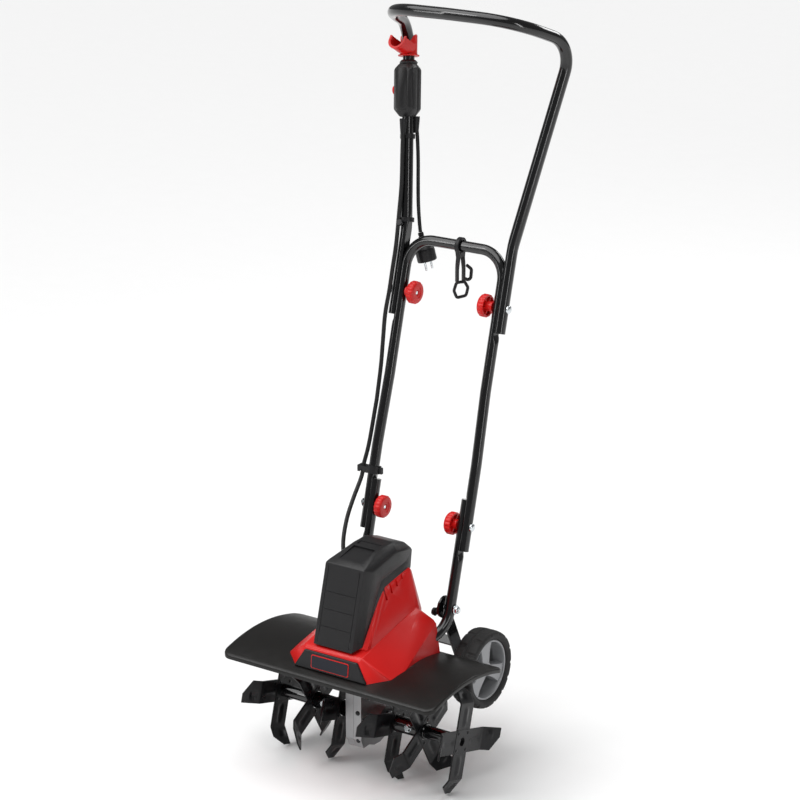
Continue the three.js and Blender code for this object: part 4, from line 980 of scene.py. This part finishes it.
def make_switch_lever():
    """The red lever: a sleeve with two ears around the leg and a ribbed trough that reaches forward."""
    base = LEVER_Z
    at = leg_point(base, 0, 0, 0)
    axis = leg_point(base, 0, 0, 1) - at
    flange = [(0, 12.4), (0, 19.4), (1, 20), (2.4, 19.6), (3.4, 16.4), (3.4, 12.4), (0, 12.4)]
    shapes = [lathe(flange, at, axis, 48)]
    outer, inner, steps = 15.8, 13, 44
    sections = []
    for k in range(steps + 1):
        a = math.radians(-235 + 290 * k / steps)
        flank = abs(math.cos(a))
        rear = max(0, math.sin(a))
        top = 20 + 30 * max(0, flank - 0.25) ** 1.5 + 8 * rear
        wall = ((inner, 2), (outer + 0.6, 2), (outer, 8), (outer, top - 1), (outer - 0.8, top),
                (inner + 0.6, top), (inner, top - 1))
        sections.append([leg_point(base, r * math.cos(a), r * math.sin(a), z) for r, z in wall])
    shapes.append(rings(sections))
    trough = [(0, -2, 8), (0, -12, 9), (0, -24, 12), (0, -34, 15), (0, -41, 18)]
    arc = [math.radians(180 + 180 * k / 20) for k in range(21)]
    outline = [(-16.4, 8)] + [(16.4 * math.cos(a), 16.4 * math.sin(a)) for a in arc] + [(16.4, 8)]
    outline += [(13.4, 8)] + [(13.4 * math.cos(a), 13.4 * math.sin(a)) for a in reversed(arc)] + [(-13.4, 8)]
    line = [leg_point(base, *p) + (leg_point(base, 0, 0, 8) - at) for p in trough]
    shapes.append(sweep(dense(line, 3), 1, section=outline))
    rim = [(u * 1.09, v * 1.09) for u, v in outline]
    ahead = (line[-1] - line[-2]).normalized()
    lip = [line[-1] - ahead * 2.2, line[-1] + ahead * 0.6]
    shapes.append(sweep(lip, 1, section=rim))
    for f in (0.35, 0.6):
        middle = line[1].lerp(line[-1], f)
        rib = [middle, middle + (line[-1] - line[1]).normalized() * 1.6]
        shapes.append(sweep(rib, 1, section=[(u * 0.97, v * 0.97) for u, v in outline]))
    piece("switch_lever_scoop", *merge(*shapes), RED, "switch_lever", ["switch_lever"], angle=40)


def make_switch_box():
    """The switch box: two moulded halves with bevelled ends and a half-round front."""
    base, length = SWITCH_Z, SWITCH_LENGTH
    for name, outer, narrow, seam, node in (("front", -22.5, 0.78, -0.15, "switch_box_front"),
                                            ("rear", 15.5, 0.8, 0.15, "switch_box_rear")):
        points = []
        for side in (-1, 1):
            wide, end = side * 21, side * 14
            points += [(end, seam, 0), (wide, seam, 10), (wide, seam, length - 10), (end, seam, length),
                       (wide, outer * narrow, 14), (wide, outer * narrow, length - 12), (end, outer, 17),
                       (end, outer, length - 15), (side * 10, outer * 0.6, 0),
                       (side * 10, outer * 0.6, length)]
        verts, faces = hull([leg_point(base, *p) for p in points])
        half = piece(f"switch_case_{name}", verts, faces, COVER, "top_handle", [node], smooth=False)
        add_bevel(half, 2.2, 4, 12)
        apply_modifiers(half)
        shade(half, 30)
    front = [leg_point(base, -2, -13.5, z) for z in (11, 17, length - 17, length - 11)]
    sizes = (13, 16.2, 16.2, 13)
    axis = (front[-1] - front[0]).normalized()
    profile = [(0, 0)] + [((p - front[0]).dot(axis), r) for p, r in zip(front, sizes)]
    profile += [(profile[-1][0] + 0.5, 0)]
    piece("switch_case_barrel", *lathe(profile, front[0], axis, 48), COVER, "top_handle", angle=50)
    collar = [(0, 12), (0, 16), (3, 17), (7, 13.4), (7, 12), (0, 12)]
    neck = lathe(collar, leg_point(base, 0, 0, length - 2), axis, 40)
    piece("switch_case_neck", *neck, COVER, "top_handle")
    seat, face = leg_point(base, -20, -8, 50), leg_point(base, -26, -8, 50)
    profile = [(0, 0), (0, 9.3), (2.6, 9.3), (4.6, 8.6), (6, 6.6), (6.8, 3.4), (7, 0)]
    piece("lock_off_cap", *lathe(profile, seat, face - seat, 40), RED, "lock_off_button", ["lock_off_button"])


def make_cord_hook():
    """A rubber strap looped over the bar and twisted below it, with a prong and an end ring."""
    x, y, top = 6, lean_y(MIDDLE_BAR_Z), MIDDLE_BAR_Z
    half = 4.4
    octagon = ((1, 0.5), (0.8, 1), (-0.8, 1), (-1, 0.5), (-1, -0.5), (-0.8, -1), (0.8, -1), (1, -0.5))
    section = [(half * a, 2.3 * b) for a, b in octagon]
    bow = [math.radians(-130 + 260 * k / 24) for k in range(25)]
    loop = [Vector((0, 13.4 * math.sin(a), top + 13.4 * math.cos(a))) for a in bow]
    line = dense([Vector((0, -6.6, 868)), Vector((0, -6.6, 914)), loop[0]], 3) + loop
    line += dense([loop[-1], Vector((0, 6.6, 914)), Vector((0, 6.6, 868))], 3)
    strap = sweep(line, 1, section=section)
    web = box((-half, -6, 915), (half, 6, 924))
    ring_corners = [(0, 0, 867), (0, -8, 866.5), (0, -13, 852), (0, -7, 838), (0, 12, 840), (0, 16, 855),
                    (0, 9, 866.5), (0, 0, 867)]
    ring = sweep(dense(rounded_path(ring_corners, [0, 5, 7, 5, 5, 6, 5, 0]), 2), 2.9, 20)
    prong_corners = [(0, 6, 874), (0, 21, 867), (0, 23, 889), (0, 14, 897)]
    prong = sweep(dense(rounded_path(prong_corners, [0, 9, 7, 0]), 2), 3.1, 20)
    verts, faces = merge(strap, web, ring, prong)
    turned = []
    for v in verts:
        turn = Matrix.Rotation(math.radians(HOOK_TWIST) * (1 - step_up(v[2], 905, 34)), 4, "Z")
        turned.append(Matrix.Translation((x, y, 0)) @ turn @ Vector(v))
    piece("cord_hook_strap", turned, faces, BLACK, "cord_hook", ["cord_hook"], angle=45)


def finish_cad_nodes():
    """CAD nodes that keep their shape get softened edges and their own finish."""
    finishes = {
        "gearbox_half_left": (CAST, 1.2),
        "gearbox_half_right": (CAST, 1.2),
        "axle_bearing_left": (STEEL, 0.4),
        "axle_bearing_right": (STEEL, 0.4),
        "motor_stator": (STEEL, 0.5),
        "upper_motor_bearing": (STEEL, 0.4),
        "motor_mount_plate": (STEEL, 0.5),
        "tine_axle": (STEEL, 0.6),
        "worm_wheel": (BRONZE, 0.3),
        "armature_shaft": (STEEL, 0.3),
        "armature_core": (COPPER, 0.5),
        "cooling_fan": (BLACK, 0.4),
        "wheel_bracket": (FRAME_PAINT, 0.8),
        "wheel_axle": (ZINC, 0.6),
        "wheel_lock_pin": (BLACK, 0.5),
        "cord_clip": (BLACK, 0.8),
    }
    for name, (material, width) in finishes.items():
        node = frame["nodes"][name]
        node.data.materials.clear()
        node.data.materials.append(material)
        node.data.polygons.foreach_set("use_smooth", [True] * len(node.data.polygons))
        add_bevel(node, width, 3, 32)


# ---------------------------------------- stage and light
def make_stage():
    """A white floor, a soft sky and three lamps."""
    mesh = bpy.data.meshes.new("floor")
    mesh.from_pydata([(-30, -30, 0), (30, -30, 0), (30, 30, 0), (-30, 30, 0)], [], [(0, 1, 2, 3)])
    floor = bpy.data.objects.new("floor", mesh)
    bpy.context.scene.collection.objects.link(floor)
    mesh.materials.append(surface("floor", (0.88, 0.88, 0.88), 0.8, grain=40, bump=0.0, mottle=0.004))
    scene = bpy.context.scene
    scene.world = bpy.data.worlds.new("world")
    scene.world.use_nodes = True
    background = scene.world.node_tree.nodes["Background"]
    background.inputs["Color"].default_value = (1, 1, 1, 1)
    background.inputs["Strength"].default_value = 0.2
    scene.view_settings.view_transform = "Standard"

    sun = bpy.data.lights.new("sky", "SUN")
    sun.energy = 2.95
    sun.angle = math.radians(70)
    sky = bpy.data.objects.new("sky", sun)
    scene.collection.objects.link(sky)
    sky.rotation_euler = Vector((0.25, 0.35, -1)).to_track_quat("-Z", "Y").to_euler()

    lamps = (("key", (-2.0, -2.6, 2.6), 0.4, 3.0, 26), ("fill", (3.0, -1.4, 1.8), 0.35, 2.6, 22),
             ("back", (0.6, 3.0, 2.6), 1.6, 0.6, 20))
    for name, place, width, height, power in lamps:
        data = bpy.data.lights.new(name, "AREA")
        data.shape = "RECTANGLE"
        data.size = width
        data.size_y = height
        data.energy = power
        light = bpy.data.objects.new(name, data)
        scene.collection.objects.link(light)
        light.location = place
        light.rotation_euler = (Vector((0, 0, 0.6)) - Vector(place)).to_track_quat("-Z", "Y").to_euler()


make_lower_frame()
make_middle_frame()
make_upper_handle()
make_knobs()
make_tines()
make_wheels()
make_guard()
make_housing()
make_cover()
make_panel()
make_small_parts()
make_switch_lever()
make_switch_box()
make_cord_hook()
finish_cad_nodes()
make_stage()
